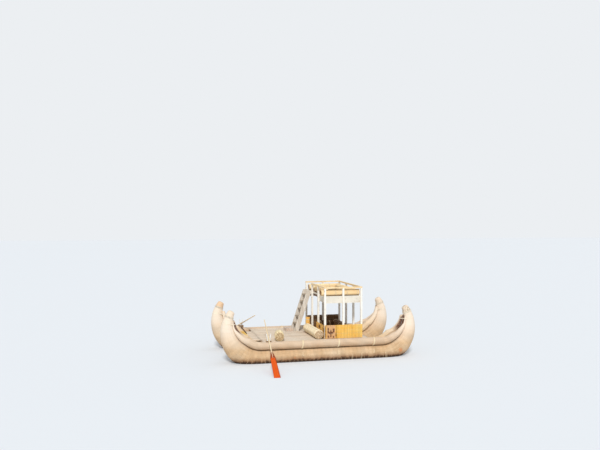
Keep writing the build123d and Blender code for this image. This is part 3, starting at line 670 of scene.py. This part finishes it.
tipParts, bandParts, neckParts = [], [], []
for side in (-1, 1):
    for sign in (-1, 1):
        for seed, (kind, strand) in enumerate(strands.items(), 1):
            tip = arcAt(strand["tipAngle"])
            centre, radius, _, _ = strandFrame(np.array([sign * (tip - 0.01), sign * tip]), kind, side)
            axis = centre[1] - centre[0]
            end = centre[1] + strand["headLength"] * axis / np.linalg.norm(axis)
            tipParts += reedEnds(end, axis, radius[1] * hornTips["share"], hornTips["reed"],
                                 seed + 20 + 10 * side + 4 * sign, hornTips["stemLength"])
        for k in range(hornTips["bindTurns"]):
            arc = sign * (arcAt(hornTips["bindAngle"]) + cordPitch * k * hornTips["bindCord"])
            bandParts.append(hornBand(np.array([arc]), side))
        neckParts += neckCords(side, sign)
meshPiece("hornTipStems", tipParts, "tipReeds")
meshPiece("hornBindings", bandParts, "hornCord")
meshPiece("hornNeckCords", neckParts, "hornCord", ["horn_bands"])
print("horn tips done")

# Cords tied over the outer rolls, and loose ends that hang down the bundle's flank.
ties = {
    "places": [1.9525, 0.5775, -0.7975], "cord": 0.009, "turns": 3, "spacing": 0.016, "gap": 0.003,
    "skew": 0.02, "points": 64, "tailLength": 0.16, "tailCord": 0.006, "tailAngle": 30, "tailSpacing": 0.02,
    "hangPlaces": [1.08, 1.46, 2.42], "hangLength": 0.30, "hangCord": 0.006, "hangAngle": 10, "sway": 0.012,
}


def tieTurn(x, side):
    # one turn round the outer roll, a little skewed along it by the sine of the angle
    centre, radius, outboard, lift = strandFrame(np.array([x]), "outer", side)
    a = ringAngles(ties["points"])
    loop = centre[0] + (radius[0] + ties["gap"]) * spokes(a, outboard[0], lift[0])
    loop[:, 0] += ties["skew"] * np.sin(a)
    return cordPart(loop, ties["cord"], aft, closed=True, shade=0.8)


def hangingCord(x, side, start, length, radius, seed):
    # a loose end on the bundle's flank: it follows the round section down from an angle, swaying a little
    t = np.linspace(0, 1, 24)
    arc = x + ties["sway"] * np.sin(t * 5 + seed) * t
    centre, bundle, outboard, lift = strandFrame(arc, "bundle", side)
    radial = spokes(math.radians(start) - t * length / hull["radius"], outboard, lift)
    return cordPart(centre + (bundle + radius * 0.7)[:, None] * radial, radius, aft, shade=0.9)


tieParts, looseParts = [], []
for side in (-1, 1):
    for place, x in enumerate(ties["places"]):
        for k in range(ties["turns"]):
            tieParts.append(tieTurn(x + (k - 1) * ties["spacing"], side))
        for k in (-1, 1):
            looseParts.append(hangingCord(x + ties["tailSpacing"] * k, side, ties["tailAngle"],
                                          ties["tailLength"], ties["tailCord"], place + k))
    for k, x in enumerate(ties["hangPlaces"]):
        looseParts.append(hangingCord(x, side, ties["hangAngle"], ties["hangLength"], ties["hangCord"], k))
meshPiece("gunwaleTies", tieParts, "grassCord", ["port_gunwale_ties", "starboard_gunwale_ties"])
meshPiece("looseCordEnds", looseParts, "grassCord")
print("ties done")

# Deck. "mainFore" is where the wide deck ends and the narrow tongue begins.
deckSet = {
    "reed": 0.027, "rib": 0.008, "sink": 0.004, "wander": 0.005, "perReed": 6, "step": 0.16, "edge": 0.028,
    "mainFore": -2.1935, "tongueLap": 0.085, "cord": 0.004, "cordFrom": 0.2, "cordEvery": 0.52,
    "cordMargin": 0.02, "cordSunk": 0.002, "cordBow": 0.01, "cordDip": 0.003, "cordPoints": 240,
}
deckLow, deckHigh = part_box("deck")


def deckSlab(foreX, aftX, halfWidth, seed):
    # a closed section across the boat, ribbed on top, rounded at the sides and flat below, carried along it
    rim = deckSet["edge"]
    reeds = int(2 * halfWidth / deckSet["reed"])
    topY = np.linspace(-halfWidth + rim, halfWidth - rim, reeds * deckSet["perReed"])
    bottomY = np.linspace(halfWidth - rim, -halfWidth + rim, 40)
    edge = np.linspace(math.pi / 2, -math.pi / 2, 9)[1:-1]
    rimY = halfWidth - rim + rim * np.cos(edge)
    rimZ = (deckLow.z + deckHigh.z) / 2 + (deckHigh.z - deckLow.z) / 2 * np.sin(edge)
    sectionY = np.concatenate([topY, rimY, bottomY, -rimY[::-1]])
    sectionZ = np.concatenate([np.full_like(topY, deckHigh.z), rimZ, np.full_like(bottomY, deckLow.z),
                               rimZ[::-1]])
    top = np.where(np.arange(sectionY.size) < topY.size, 1.0, 0.0)
    x = np.linspace(foreX, aftX, int((aftX - foreX) / deckSet["step"]) + 2)
    gx, gy = np.meshgrid(x, sectionY, indexing="ij")
    wander = deckSet["wander"] * np.sin(gx * 1.3 + np.floor(gy / deckSet["reed"]) * 2.4 + seed)
    rib = np.abs(np.sin(math.pi * (gy + wander) / deckSet["reed"]))
    rng = np.random.default_rng(seed)
    index = np.floor((gy + wander) / deckSet["reed"]).astype(int) % tintCount
    tint = rng.uniform(0, 1, tintCount)[index]
    sink = rng.uniform(0, deckSet["sink"], tintCount)[index]
    z = sectionZ - top * (deckSet["rib"] * (1 - rib ** 0.6) + sink)
    # painted shade between the reeds on top
    groove = top * (1 - rib ** 0.5) * 0.9
    return gridPart(np.stack([gx, gy, z], -1), flatMapping(gx, gy), groove=groove, shade=tint)


def deckCord(x):
    # stitching right across the deck: it bows a little and dips between the reeds
    half = deckHigh.y - deckSet["cordMargin"]
    y = np.linspace(-half, half, deckSet["cordPoints"])
    bow = deckSet["cordBow"] * np.sin(y * 2.1 + x * 5)
    dip = deckSet["cordDip"] * (1 - np.abs(np.sin(math.pi * y / deckSet["reed"])))
    path = np.stack([x + bow, y, deckHigh.z - deckSet["cordSunk"] - dip], -1)
    return cordPart(path, deckSet["cord"], up, sides=5)


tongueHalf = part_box("bow_mat")[1].y + deckSet["tongueLap"]
deckParts = [deckSlab(deckSet["mainFore"], deckHigh.x, deckHigh.y, 5),
             deckSlab(deckLow.x, deckSet["mainFore"], tongueHalf, 6)]
meshPiece("reedDeck", deckParts, "deckReeds", ["deck"])
cordPlaces = np.arange(deckSet["mainFore"] + deckSet["cordFrom"], deckHigh.x, deckSet["cordEvery"])
meshPiece("deckStitching", [deckCord(x) for x in cordPlaces], "grassCord")
print("deck done")

# Mats and panels. "rowPoints" are the places of the section's points beside a row of stitching.
matSet = {
    "margin": 0.05, "rowPoints": [-0.024, -0.010, 0, 0.010, 0.024], "stitchWidth": 0.010,
    "stitchSink": 0.003, "unevenSink": 0.002, "stepsPerReed": 4,
    "cord": 0.0022, "cordSunk": 0.004, "cordWave": 0.002, "cordMargin": 0.004,
}


def matSkin(low, high, along, seed, reed=0.014, stitches=4, depth=0.0035, rim=0.012):
    # a flat closed skin: a rounded oblong section carried along one axis, ribbed across its faces by stems
    # that stand across that axis, and drawn in along the rows of stitching
    low, high = np.array(low, float), np.array(high, float)
    centre, size = (low + high) / 2, high - low
    wideAxis, thinAxis = sorted({0, 1, 2} - {along}, key=lambda axis: -size[axis])
    length, wide, thin = size[along], size[wideAxis], size[thinAxis]
    rows = np.linspace(-wide / 2 + matSet["margin"], wide / 2 - matSet["margin"], stitches)
    flatRun = (rows[:, None] + matSet["rowPoints"]).ravel()
    flatRun = np.concatenate([[-wide / 2 + rim], flatRun, [wide / 2 - rim]])
    bend = np.linspace(-math.pi / 2, math.pi / 2, 7)[1:-1]
    capU = wide / 2 - rim + rim * np.cos(bend)
    capV = thin / 2 * np.sin(bend)
    faceV = np.full(flatRun.size, thin / 2)
    u = np.concatenate([flatRun, capU[::-1], flatRun[::-1], -capU])
    v = np.concatenate([faceV, capV[::-1], -faceV, capV])
    face = np.where(np.abs(v) == thin / 2, 1.0, 0.0)  # only the two flats are ribbed
    s = np.linspace(0, length, int(length / reed) * matSet["stepsPerReed"] + 1)
    gs, gu = np.meshgrid(s, u, indexing="ij")
    rng = np.random.default_rng(seed)
    index = np.floor(gs / reed).astype(int) % tintCount
    uneven = rng.uniform(0, 1, tintCount)[index]
    tint = rng.uniform(0, 1, tintCount)[index]
    rib = np.abs(np.sin(math.pi * gs / reed)) ** 0.6
    sewn = sum(np.exp(-((gu - row) / matSet["stitchWidth"]) ** 2) for row in rows)
    sunk = depth * (1 - rib) + matSet["stitchSink"] * sewn + matSet["unevenSink"] * uneven
    points = np.zeros(gs.shape + (3,))
    points[..., along] = low[along] + gs
    points[..., wideAxis] = centre[wideAxis] + gu
    points[..., thinAxis] = centre[thinAxis] + v - np.sign(v) * sunk * face
    # the groove field is painted shade between the stems on both faces
    skin = gridPart(points, flatMapping(gu, gs), groove=(1 - rib) * 0.8 * face, shade=tint,
                    figureAlong=gs / length, figureUp=gu / wide + 0.5)

    # stitching along both faces, standing up over each reed
    t = np.linspace(matSet["cordMargin"], length - matSet["cordMargin"], int(length / reed) * 2)
    stand = thin / 2 - matSet["cordSunk"] + matSet["cordWave"] * np.abs(np.sin(math.pi * t / reed))
    cords = []
    for row in rows:
        for sign in (-1, 1):
            path = np.zeros((t.size, 3))
            path[:, along] = low[along] + t
            path[:, wideAxis] = centre[wideAxis] + row
            path[:, thinAxis] = centre[thinAxis] + sign * stand
            cords.append(cordPart(path, matSet["cord"], np.eye(3)[thinAxis], sides=4))
    return skin, cords


def figuredMaterial(name, fromAlong, toAlong, bars):
    # dark brown bars on golden reeds, with a pink-tan ground between two shares of the panel's length; noise
    # added to the places along and up the panel makes every edge ragged
    tree, shader = newMaterial(name, 0.75)
    mapped, place = reedMap(tree), objectPlace(tree)
    stems = streaksOf(tree, mapped, (4, 90, 1), 4.0)
    stemShare = ranged(tree, stems, 0.3, 0.7)
    ground = blended(tree, stemShare, tone(196, 142, 92), tone(236, 190, 138))
    gold = blended(tree, stemShare, tone(206, 142, 54), tone(252, 206, 112))
    ragged = product(tree, noiseOf(tree, place, 30.0), 0.10)
    ragged = product(tree, ragged, 0.05, "SUBTRACT")
    along = product(tree, attributeOf(tree, "figureAlong"), ragged, "ADD")
    upwards = product(tree, attributeOf(tree, "figureUp"), ragged, "ADD")

    def within(value, low, high):
        # one between the two limits, nought outside
        above = product(tree, value, low, "GREATER_THAN")
        return product(tree, above, product(tree, value, high, "LESS_THAN"))

    pink = within(along, fromAlong, toAlong)
    dark = 0.0
    for fromBar, toBar, fromUp, toUp in bars:
        bar = product(tree, within(along, fromBar, toBar), within(upwards, fromUp, toUp))
        dark = product(tree, dark, bar, "MAXIMUM")
    blot = ranged(tree, noiseOf(tree, place, 14.0, 2.0), 0.56, 0.64, 0.0, 0.5)
    blot = product(tree, blot, product(tree, 1.0, pink, "SUBTRACT"))
    colour = blended(tree, blot, blended(tree, pink, gold, ground), tone(112, 66, 26))
    colour = blended(tree, product(tree, dark, 0.88), colour, tone(84, 44, 26))
    # painted shade between the stems
    colour = blended(tree, product(tree, attributeOf(tree, "groove"), 0.6), colour, tone(84, 54, 32))
    finishWith(tree, shader, colour, stems, 0.5, 0.005)


# Bars of the figures, as shares of the panel. Columns: from and to along, from and to up.
sideFigure = [
    (0.22, 0.34, 0.40, 0.82), (0.68, 0.84, 0.46, 0.74), (0.32, 0.70, 0.36, 0.50), (0.46, 0.56, 0.50, 0.66),
    (0.24, 0.34, 0.04, 0.24), (0.70, 0.80, 0.04, 0.20), (0.47, 0.56, 0.12, 0.36), (0.93, 1.05, 0.16, 0.30),
    # the last row is painted shadow: a dark bar down the panel's fore end beside the post
    (-0.10, 0.04, 0.05, 0.90),
]
foreFigure = [(0.42, 0.66, 0.66, 0.90), (0.0, 0.06, 0.0, 1.0), (0.80, 0.88, 0.16, 0.36)]
figuredMaterial("figuredMat", 0.14, 0.90, sideFigure)
figuredMaterial("foreMat", 2.0, 3.0, foreFigure)  # its ground lies past the panel's end, so it is all golden
# Columns: node, piece, axis that it runs along, material, slot, seed, and what else is its own.
mats = [
    ("port_mat_panel", "portMatPanel", 0, "goldMat", "golden_mat", 21, {}),
    # painted shade: the starboard panel takes dark reeds for the shade under the upper floor
    ("starboard_mat_panel", "starboardMatPanel", 0, "paintedShadeReeds", "golden_mat", 22, {}),
    ("fore_mat_panel", "foreMatPanel", 1, "foreMat", "golden_mat", 23, {}),
    ("port_motif_panel", "figuredPanel", 0, "figuredMat", "figured_mat", 24, {}),
    ("bow_mat", "bowMat", 1, "goldMat", "golden_mat", 24,
     {"reed": 0.016, "stitches": 5, "depth": 0.004, "rim": 0.010}),
]
for nodeName, pieceName, along, material, slot, seed, settings in mats:
    skin, cords = matSkin(*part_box(nodeName), along, seed, **settings)
    meshPiece(pieceName, [skin], material, [nodeName])
    meshPiece(pieceName + "Stitching", cords, "grassCord")
print("mats done")

# Rolls, benches and the stool. Pinch and uneven are shares of the radius.
rollSet = {
    "reed": 0.024, "ridge": 0.0045, "pinch": 0.03, "pinchWidth": 0.03, "step": 0.034, "uneven": 0.018,
    "twist": 0.05, "perStem": 4, "bulge": 0.004,
    "bindCord": 0.0045, "bindSpacing": 0.009, "bindPoints": 32, "bindShare": 0.985, "bindGap": 0.002,
    "endMargin": 0.012, "stem": 0.0115, "stemShare": 0.95, "stemsOut": 0.0085,
}


def rollSkin(start, end, radius, seed, bindings):
    # a straight bundle: one ridge per stem around it, pinched where each binding lies
    length = np.linalg.norm(end - start)
    axis = (end - start) / length
    side, other = squareTo(axis)
    stems = int(turn * radius / rollSet["reed"])
    along = np.linspace(0, length, max(8, int(length / rollSet["step"])))
    s, a = np.meshgrid(along, ringAngles(stems * rollSet["perStem"]), indexing="ij")
    twisted = a + rollSet["twist"] * np.sin(s * 4 + seed)
    squeeze = sum(np.exp(-((s - b) / rollSet["pinchWidth"]) ** 2) for b in bindings)
    ridges = 1 - np.abs(np.cos(twisted * stems / 2))
    r = radius * (1 - rollSet["uneven"] * (1 - unevenness(s, a, seed)))
    r = r - rollSet["ridge"] * ridges ** 2 - rollSet["pinch"] * radius * squeeze
    rings = start + s[..., None] * axis + r[..., None] * spokes(a, side, other)
    rng = np.random.default_rng(seed)
    tint = rng.uniform(0, 1, stems)[(np.floor(twisted * stems / turn + 0.5) % stems).astype(int)]
    rings = roundedEnds(rings, rollSet["bulge"], domeProfile(2))
    # the groove field is painted shade in the furrows between stems
    skin = gridPart(rings, ringMapping(rings), **grownBy(2, {"groove": ridges ** 3 * 0.4, "shade": tint}))
    reach = radius * (rollSet["bindShare"] - rollSet["pinch"]) + rollSet["bindGap"]
    ring = reach * spokes(ringAngles(rollSet["bindPoints"]), side, other)
    places = [b + k * rollSet["bindSpacing"] for b in bindings for k in (-1, 0, 1)]
    cords = [cordPart(start + place * axis + ring, rollSet["bindCord"], axis, sides=5, closed=True)
             for place in places]
    return skin, cords


# Columns: node, turn from the boat's X in degrees or None for upright, material, bindings as shares of the
# length.
rolls = [
    ("port_upper_roll", 0, "creamReeds", (0.07, 0.37, 0.67, 0.95)),
    ("starboard_upper_roll", 0, "creamReeds", (0.06, 0.36, 0.66, 0.94)),
    ("aft_upper_roll", 90, "creamReeds", (0.05, 0.28, 0.50, 0.72, 0.95)),
    ("fore_upper_roll", 90, "creamReeds", (0.06, 0.35, 0.65, 0.94)),
    ("port_bench", 0, "creamReeds", (0.10, 0.50, 0.90)),
    # painted shade: the starboard and aft benches take dark reeds for the shade under the upper floor
    ("starboard_bench", 0, "paintedShadeReeds", (0.10, 0.50, 0.90)),
    ("aft_bench", 90, "paintedShadeReeds", (0.08, 0.50, 0.92)),
    # paler reeds: partly the bench's own tone, partly painted light
    ("fore_bench", 90, "paleAndLitBenchReeds", (0.07, 0.36, 0.64, 0.93)),
    ("stool_bundle", 80, "stoolReeds", (0.14, 0.86)),
    ("end_bundle", None, "goldReeds", (0.16, 0.84)),
]


def rollAxis(nodeName, turned):
    # middle, direction, length and radius of a roll, from the box of its solid
    low, high = (np.array(v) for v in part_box(nodeName))
    size = high - low
    if turned is None:
        return (low + high) / 2, up, size[2], size[0] / 2
    # the box of a turned cylinder is length times cosine plus twice the radius times sine
    way = np.array([math.cos(math.radians(turned)), math.sin(math.radians(turned)), 0])
    major, radius = int(way[1] > way[0]), size[2] / 2
    return (low + high) / 2, way, (size[major] - 2 * radius * way[1 - major]) / way[major], radius


endParts, rollCords = [], []
for seed, (nodeName, turned, material, bindings) in enumerate(rolls):
    middle, way, length, radius = rollAxis(nodeName, turned)
    length = length - 2 * rollSet["endMargin"]
    start, end = middle - way * length / 2, middle + way * length / 2
    skin, cords = rollSkin(start, end, radius, 40 + seed, [b * length for b in bindings])
    name = "".join(w.capitalize() if k else w for k, w in enumerate(nodeName.split("_")))
    meshPiece(name, [skin], material, [nodeName])
    rollCords += cords
    for place, out, endSeed in ((start, -way, 60 + seed), (end, way, 80 + seed)):
        endParts += reedEnds(place + rollSet["stemsOut"] * out, out, radius * rollSet["stemShare"],
                             rollSet["stem"], endSeed)
meshPiece("rollCutStems", endParts, "cutReeds")
meshPiece("rollBindings", rollCords, "grassCord")
print("rolls done")

# Timber that keeps its solid, with a finish of its own. Columns: finish, pale and dark tones, scale of the
# grain along x, y and z, what else is its own, and the nodes that take it.
stairSlope = math.radians(90 - 71.5)  # the strings climb at 71.5 degrees
timber = [
    ("whitePaint", (196, 172, 138), (134, 108, 80), (40, 40, 3), {"paint": (244, 238, 226), "wear": 0.57},
     "port_posts starboard_posts fore_posts aft_posts"),
    ("whiteBoard", (206, 182, 150), (150, 122, 92), (3, 3, 50), {"paint": (226, 218, 202), "wear": 0.60},
     "port_side_board starboard_side_board aft_board fore_board"),
    ("railWood", (252, 230, 186), (218, 184, 136), (5, 30, 30), {}, "top_rail"),
    ("stairWood", (229, 221, 209), (182, 168, 150), (45, 45, 3.5),
     {"turned": (0, -stairSlope, 0), "bump": 0.6}, "stair_strings"),
    # painted shade: darker treads stand in for the shadows under them
    ("shadedTreadWood", (196, 180, 156), (124, 106, 86), (40, 3.5, 40), {"bump": 0.6}, "stair_treads"),
    ("stepWood", (232, 214, 196), (176, 150, 130), (30, 4, 40), {"bump": 0.5}, "stair_step"),
    ("floorWood", (150, 118, 86), (92, 66, 46), (3, 40, 40), {}, "upper_floor"),
    ("joistWood", (140, 108, 80), (84, 60, 44), (40, 3, 40), {}, "joists"),
    ("poleDark", (112, 84, 58), (64, 46, 30), (40, 3, 40), {"bump": 0.6}, "fore_pole"),
    ("logWood", (168, 134, 94), (104, 76, 50), (40, 3, 40), {"bump": 0.6},
     "cross_logs port_thole_block starboard_thole_block"),
    ("thickPaint", (206, 182, 150), (140, 112, 84), (30, 30, 6), {"paint": (246, 244, 238), "wear": 0.62},
     "port_thole_fork starboard_thole_fork"),
]
for name, pale, dark, scale, settings, names in timber:
    woodMaterial(name, pale, dark, scale, **settings)
    for nodeName in names.split():
        nodes[nodeName].data.materials.clear()
        nodes[nodeName].data.materials.append(materials[name])
print("timber done")

# Oars. "dip" is the angle of the shaft under level in degrees, "blade" to "tipRound" are the blade's.
oarSet = {
    "dip": 20, "inboard": 1.450, "outboard": 2.620,
    "handle": 0.017, "handleShare": 0.98, "handleLength": 0.25, "middle": 0.024, "neck": 0.019, "end": 0.004,
    "blade": 1.720, "rootWidth": 0.060, "shoulder": 0.420, "shoulderWidth": 0.189, "width": 0.225,
    "soft": 0.006, "thickness": 0.024, "thinFrom": 0.15, "tipThickness": 0.014, "tipRound": 0.060,
    "collar": 0.130, "collarCord": 0.0035,
    "loomSections": 150, "loomAround": 20, "loomUneven": 0.022, "bladeSections": 60, "bladeAround": 56,
}


def bladeMaterial():
    # orange paint, scratched along the blade and rubbed to red-brown wood near the neck and along the edges
    tree, shader = newMaterial("orangePaint", 0.6, 0.2)
    mapped, place = reedMap(tree), objectPlace(tree)
    grain = streaksOf(tree, mapped, (4, 70, 1), 5.0, 0.65)
    grainShare = ranged(tree, grain, 0.35, 0.65)
    paint = blended(tree, grainShare, tone(196, 58, 0), tone(228, 98, 4))
    bare = blended(tree, grainShare, tone(104, 44, 20), tone(164, 78, 36))
    rubbed = ranged(tree, noiseOf(tree, place, 18.0, 5.0, 0.7), 0.2, 0.55, 0, 1.6)
    worn = product(tree, attributeOf(tree, "wear"), rubbed)
    scratch = ranged(tree, streaksOf(tree, mapped, (2.5, 160, 1)), 0.62, 0.68, 0.0, 0.5)
    colour = blended(tree, ranged(tree, product(tree, worn, scratch, "ADD"), 0.3, 0.75), paint, bare)
    finishWith(tree, shader, colour, grain, 0.3, 0.003)


def oarFrame(sideName):
    # the point in the fork, and directions along the shaft, across the blade and out of its face
    joint = next(j for j in frame["joints"] if j["name"] == sideName + "_oar_dip")
    point, across = np.array(joint["pos_m"]), -np.array(joint["axis"])
    dip = math.radians(oarSet["dip"])
    shaft = np.cross(across, up) * math.cos(dip) - up * math.sin(dip)
    return point, shaft, across, np.cross(shaft, across)


def loomSkin(point, shaft, across, face):
    # a round pole, a little uneven, that runs half way into the blade
    root = oarSet["outboard"] - oarSet["blade"]
    # Columns: place along the oar from the fork, radius.
    rows = np.array([
        (-oarSet["inboard"], oarSet["handle"]),
        (-oarSet["inboard"] + oarSet["handleLength"], oarSet["handle"] * oarSet["handleShare"]),
        (0, oarSet["middle"]), (root, oarSet["neck"]), (root + 0.5 * oarSet["blade"], oarSet["end"]),
    ])
    s = np.linspace(rows[0, 0], rows[-1, 0], oarSet["loomSections"])
    gs, ga = np.meshgrid(s, ringAngles(oarSet["loomAround"]), indexing="ij")
    uneven = oarSet["loomUneven"] * unevenness(gs, ga, 5, waves=8, shortest=0.2, longest=0.9)
    r = np.interp(gs, rows[:, 0], rows[:, 1]) * (0.975 + uneven)
    rings = point + gs[..., None] * shaft + r[..., None] * spokes(ga, across, face)
    rings = roundedEnds(rings, 0.010, domeProfile(3))
    return gridPart(rings, ringMapping(rings), groove=0.0, shade=0.5)


def bladeSkin(point, shaft, across, face):
    # half width from the outline, with the tip's corners rounded; the section is a lens, thin at its rim
    length, tipRound, shoulder = oarSet["blade"], oarSet["tipRound"], oarSet["shoulder"]
    tipTurn = np.linspace(0, math.pi / 2, 9)[1:] * 0.985
    t = np.linspace(0, length - tipRound, oarSet["bladeSections"])
    t = np.concatenate([t, length - tipRound * (1 - np.sin(tipTurn))])
    widths = [oarSet["rootWidth"], oarSet["shoulderWidth"], oarSet["width"]]
    half = np.interp(t, [0, shoulder, length], widths) / 2
    half = half + np.interp(t, [0, shoulder * 0.5, shoulder * 1.6], [0, oarSet["soft"], 0])
    tipPart = np.clip((t - length + tipRound) / tipRound, 0, 1)
    half = half - tipRound * (1 - np.sqrt(np.clip(1 - tipPart ** 2, 0, 1)))
    thick = np.array([oarSet["thickness"], oarSet["thickness"], oarSet["tipThickness"]]) / 2
    thick = np.interp(t, [0, oarSet["thinFrom"], length], thick)
    gt, ga = np.meshgrid(t, ringAngles(oarSet["bladeAround"]), indexing="ij")
    cos, sin = np.cos(ga), np.sin(ga)
    wide = half[:, None] * np.sign(cos) * np.abs(cos) ** 0.8
    lens = thick[:, None] * np.sign(sin) * np.abs(sin) ** 0.7 * (1 - 0.35 * np.abs(cos) ** 3)
    origin = point + (oarSet["outboard"] - length) * shaft
    rings = origin + gt[..., None] * shaft + wide[..., None] * across + lens[..., None] * face
    # worn most near the neck, then along both edges; one edge is darker still
    wear = 0.9 * np.exp(-(gt / 0.42) ** 2) + 0.5 * np.abs(cos) ** 6 + 0.45 * np.clip(cos, 0, 1) ** 3
    return gridPart(rings, ringMapping(rings), groove=0.0, shade=0.5, wear=np.clip(wear, 0, 1))


def collarCoil(point, shaft, across, face):
    # one cord wound round the loom: the angle grows evenly with the place along it
    cord = oarSet["collarCord"]
    turns = int(oarSet["collar"] / (cordPitch * cord))
    a = np.linspace(0, turns * turn, turns * 20)
    s = (a / a[-1] - 0.5) * (oarSet["collar"] - 2 * cord)
    radial = spokes(a, across, face)
    return cordPart(point + s[:, None] * shaft + (oarSet["middle"] + cord) * radial, cord, radial)


bladeMaterial()
# Columns: piece, node, function that makes the skin, material, slot.
oarParts = [
    ("OarLoom", "_oar_loom", loomSkin, "poleWood", "oar_wood"),
    ("OarBlade", "_oar_blade", bladeSkin, "orangePaint", "orange_paint"),
    ("OarCollar", "_oar_collar", collarCoil, "grassCord", "cord"),
]
for sideName in ("port", "starboard"):
    directions = oarFrame(sideName)
    for pieceName, nodeName, makeSkin, material, slot in oarParts:
        skin = makeSkin(*directions)
        meshPiece(sideName + pieceName, [skin], material, [sideName + nodeName], sideName + "_oar")
print("oars done")

# Stage, lights and camera. The floor stands for the water.
stageSet = {
    "floor": tone(226, 229, 232), "size": 400.0, "backdrop": tone(236, 239, 242), "sky": tone(232, 236, 240),
    "skyStrength": 0.70,
}
# Columns: name, direction towards the light, strength, angle in degrees.
suns = [("keySun", (-0.24, -0.88, 0.74), 2.35, 10), ("fillSun", (0.8, 0.3, 0.6), 0.30, 60)]
cameraSet = {
    "place": (-6.7015, -25.175, 5.278), "heading": 13.98, "focal": 660, "imageWidth": 600, "sensor": 36,
}

edge = stageSet["size"] / 2
floorMesh = bpy.data.meshes.new("floor")
floorCorners = [(x * edge, y * edge, waterline) for x, y in ((-1, -1), (1, -1), (1, 1), (-1, 1))]
floorMesh.from_pydata(floorCorners, [], [(0, 1, 2, 3)])
_, floorShader = newMaterial("floorPale", 0.9, 0.1)
floorShader.inputs["Base Color"].default_value = stageSet["floor"]
floorMesh.materials.append(materials["floorPale"])
floor = bpy.data.objects.new("floor", floorMesh)
bpy.context.scene.collection.objects.link(floor)

world = bpy.data.worlds.new("studio")
bpy.context.scene.world = world
world.use_nodes = True
tree = world.node_tree
background = tree.nodes["Background"]
background.inputs["Color"].default_value = stageSet["sky"]
background.inputs["Strength"].default_value = stageSet["skyStrength"]
seen = addNode(tree, "Background", {"Color": stageSet["backdrop"], "Strength": 1.0})
chosen = addNode(tree, "MixShader", {0: addNode(tree, "LightPath").outputs["Is Camera Ray"]})
tree.links.new(background.outputs[0], chosen.inputs[1])
tree.links.new(seen.outputs[0], chosen.inputs[2])
tree.links.new(chosen.outputs[0], tree.nodes["World Output"].inputs["Surface"])


def addSun(name, towards, strength, angle):
    # the lamp is tipped from straight down by the way's angle to the vertical, then turned to its heading
    data = bpy.data.lights.new(name, "SUN")
    data.energy = strength
    data.angle = math.radians(angle)
    lamp = bpy.data.objects.new(name, data)
    bpy.context.scene.collection.objects.link(lamp)
    way = np.array(towards, float)
    tip = math.acos(way[2] / np.linalg.norm(way))
    lamp.rotation_euler = (tip, 0, math.atan2(way[1], way[0]) + math.pi / 2)


for sun in suns:
    addSun(*sun)

cameraData = bpy.data.cameras.new("camera")
cameraData.sensor_width = cameraSet["sensor"]
cameraData.lens = cameraSet["focal"] * cameraSet["sensor"] / cameraSet["imageWidth"]
camera = bpy.data.objects.new("camera", cameraData)
camera.location = cameraSet["place"]
camera.rotation_euler = (math.radians(90), 0, -math.radians(cameraSet["heading"]))
bpy.context.scene.collection.objects.link(camera)
bpy.context.scene.camera = camera
bpy.context.scene.view_settings.view_transform = "Standard"
print("stage done")
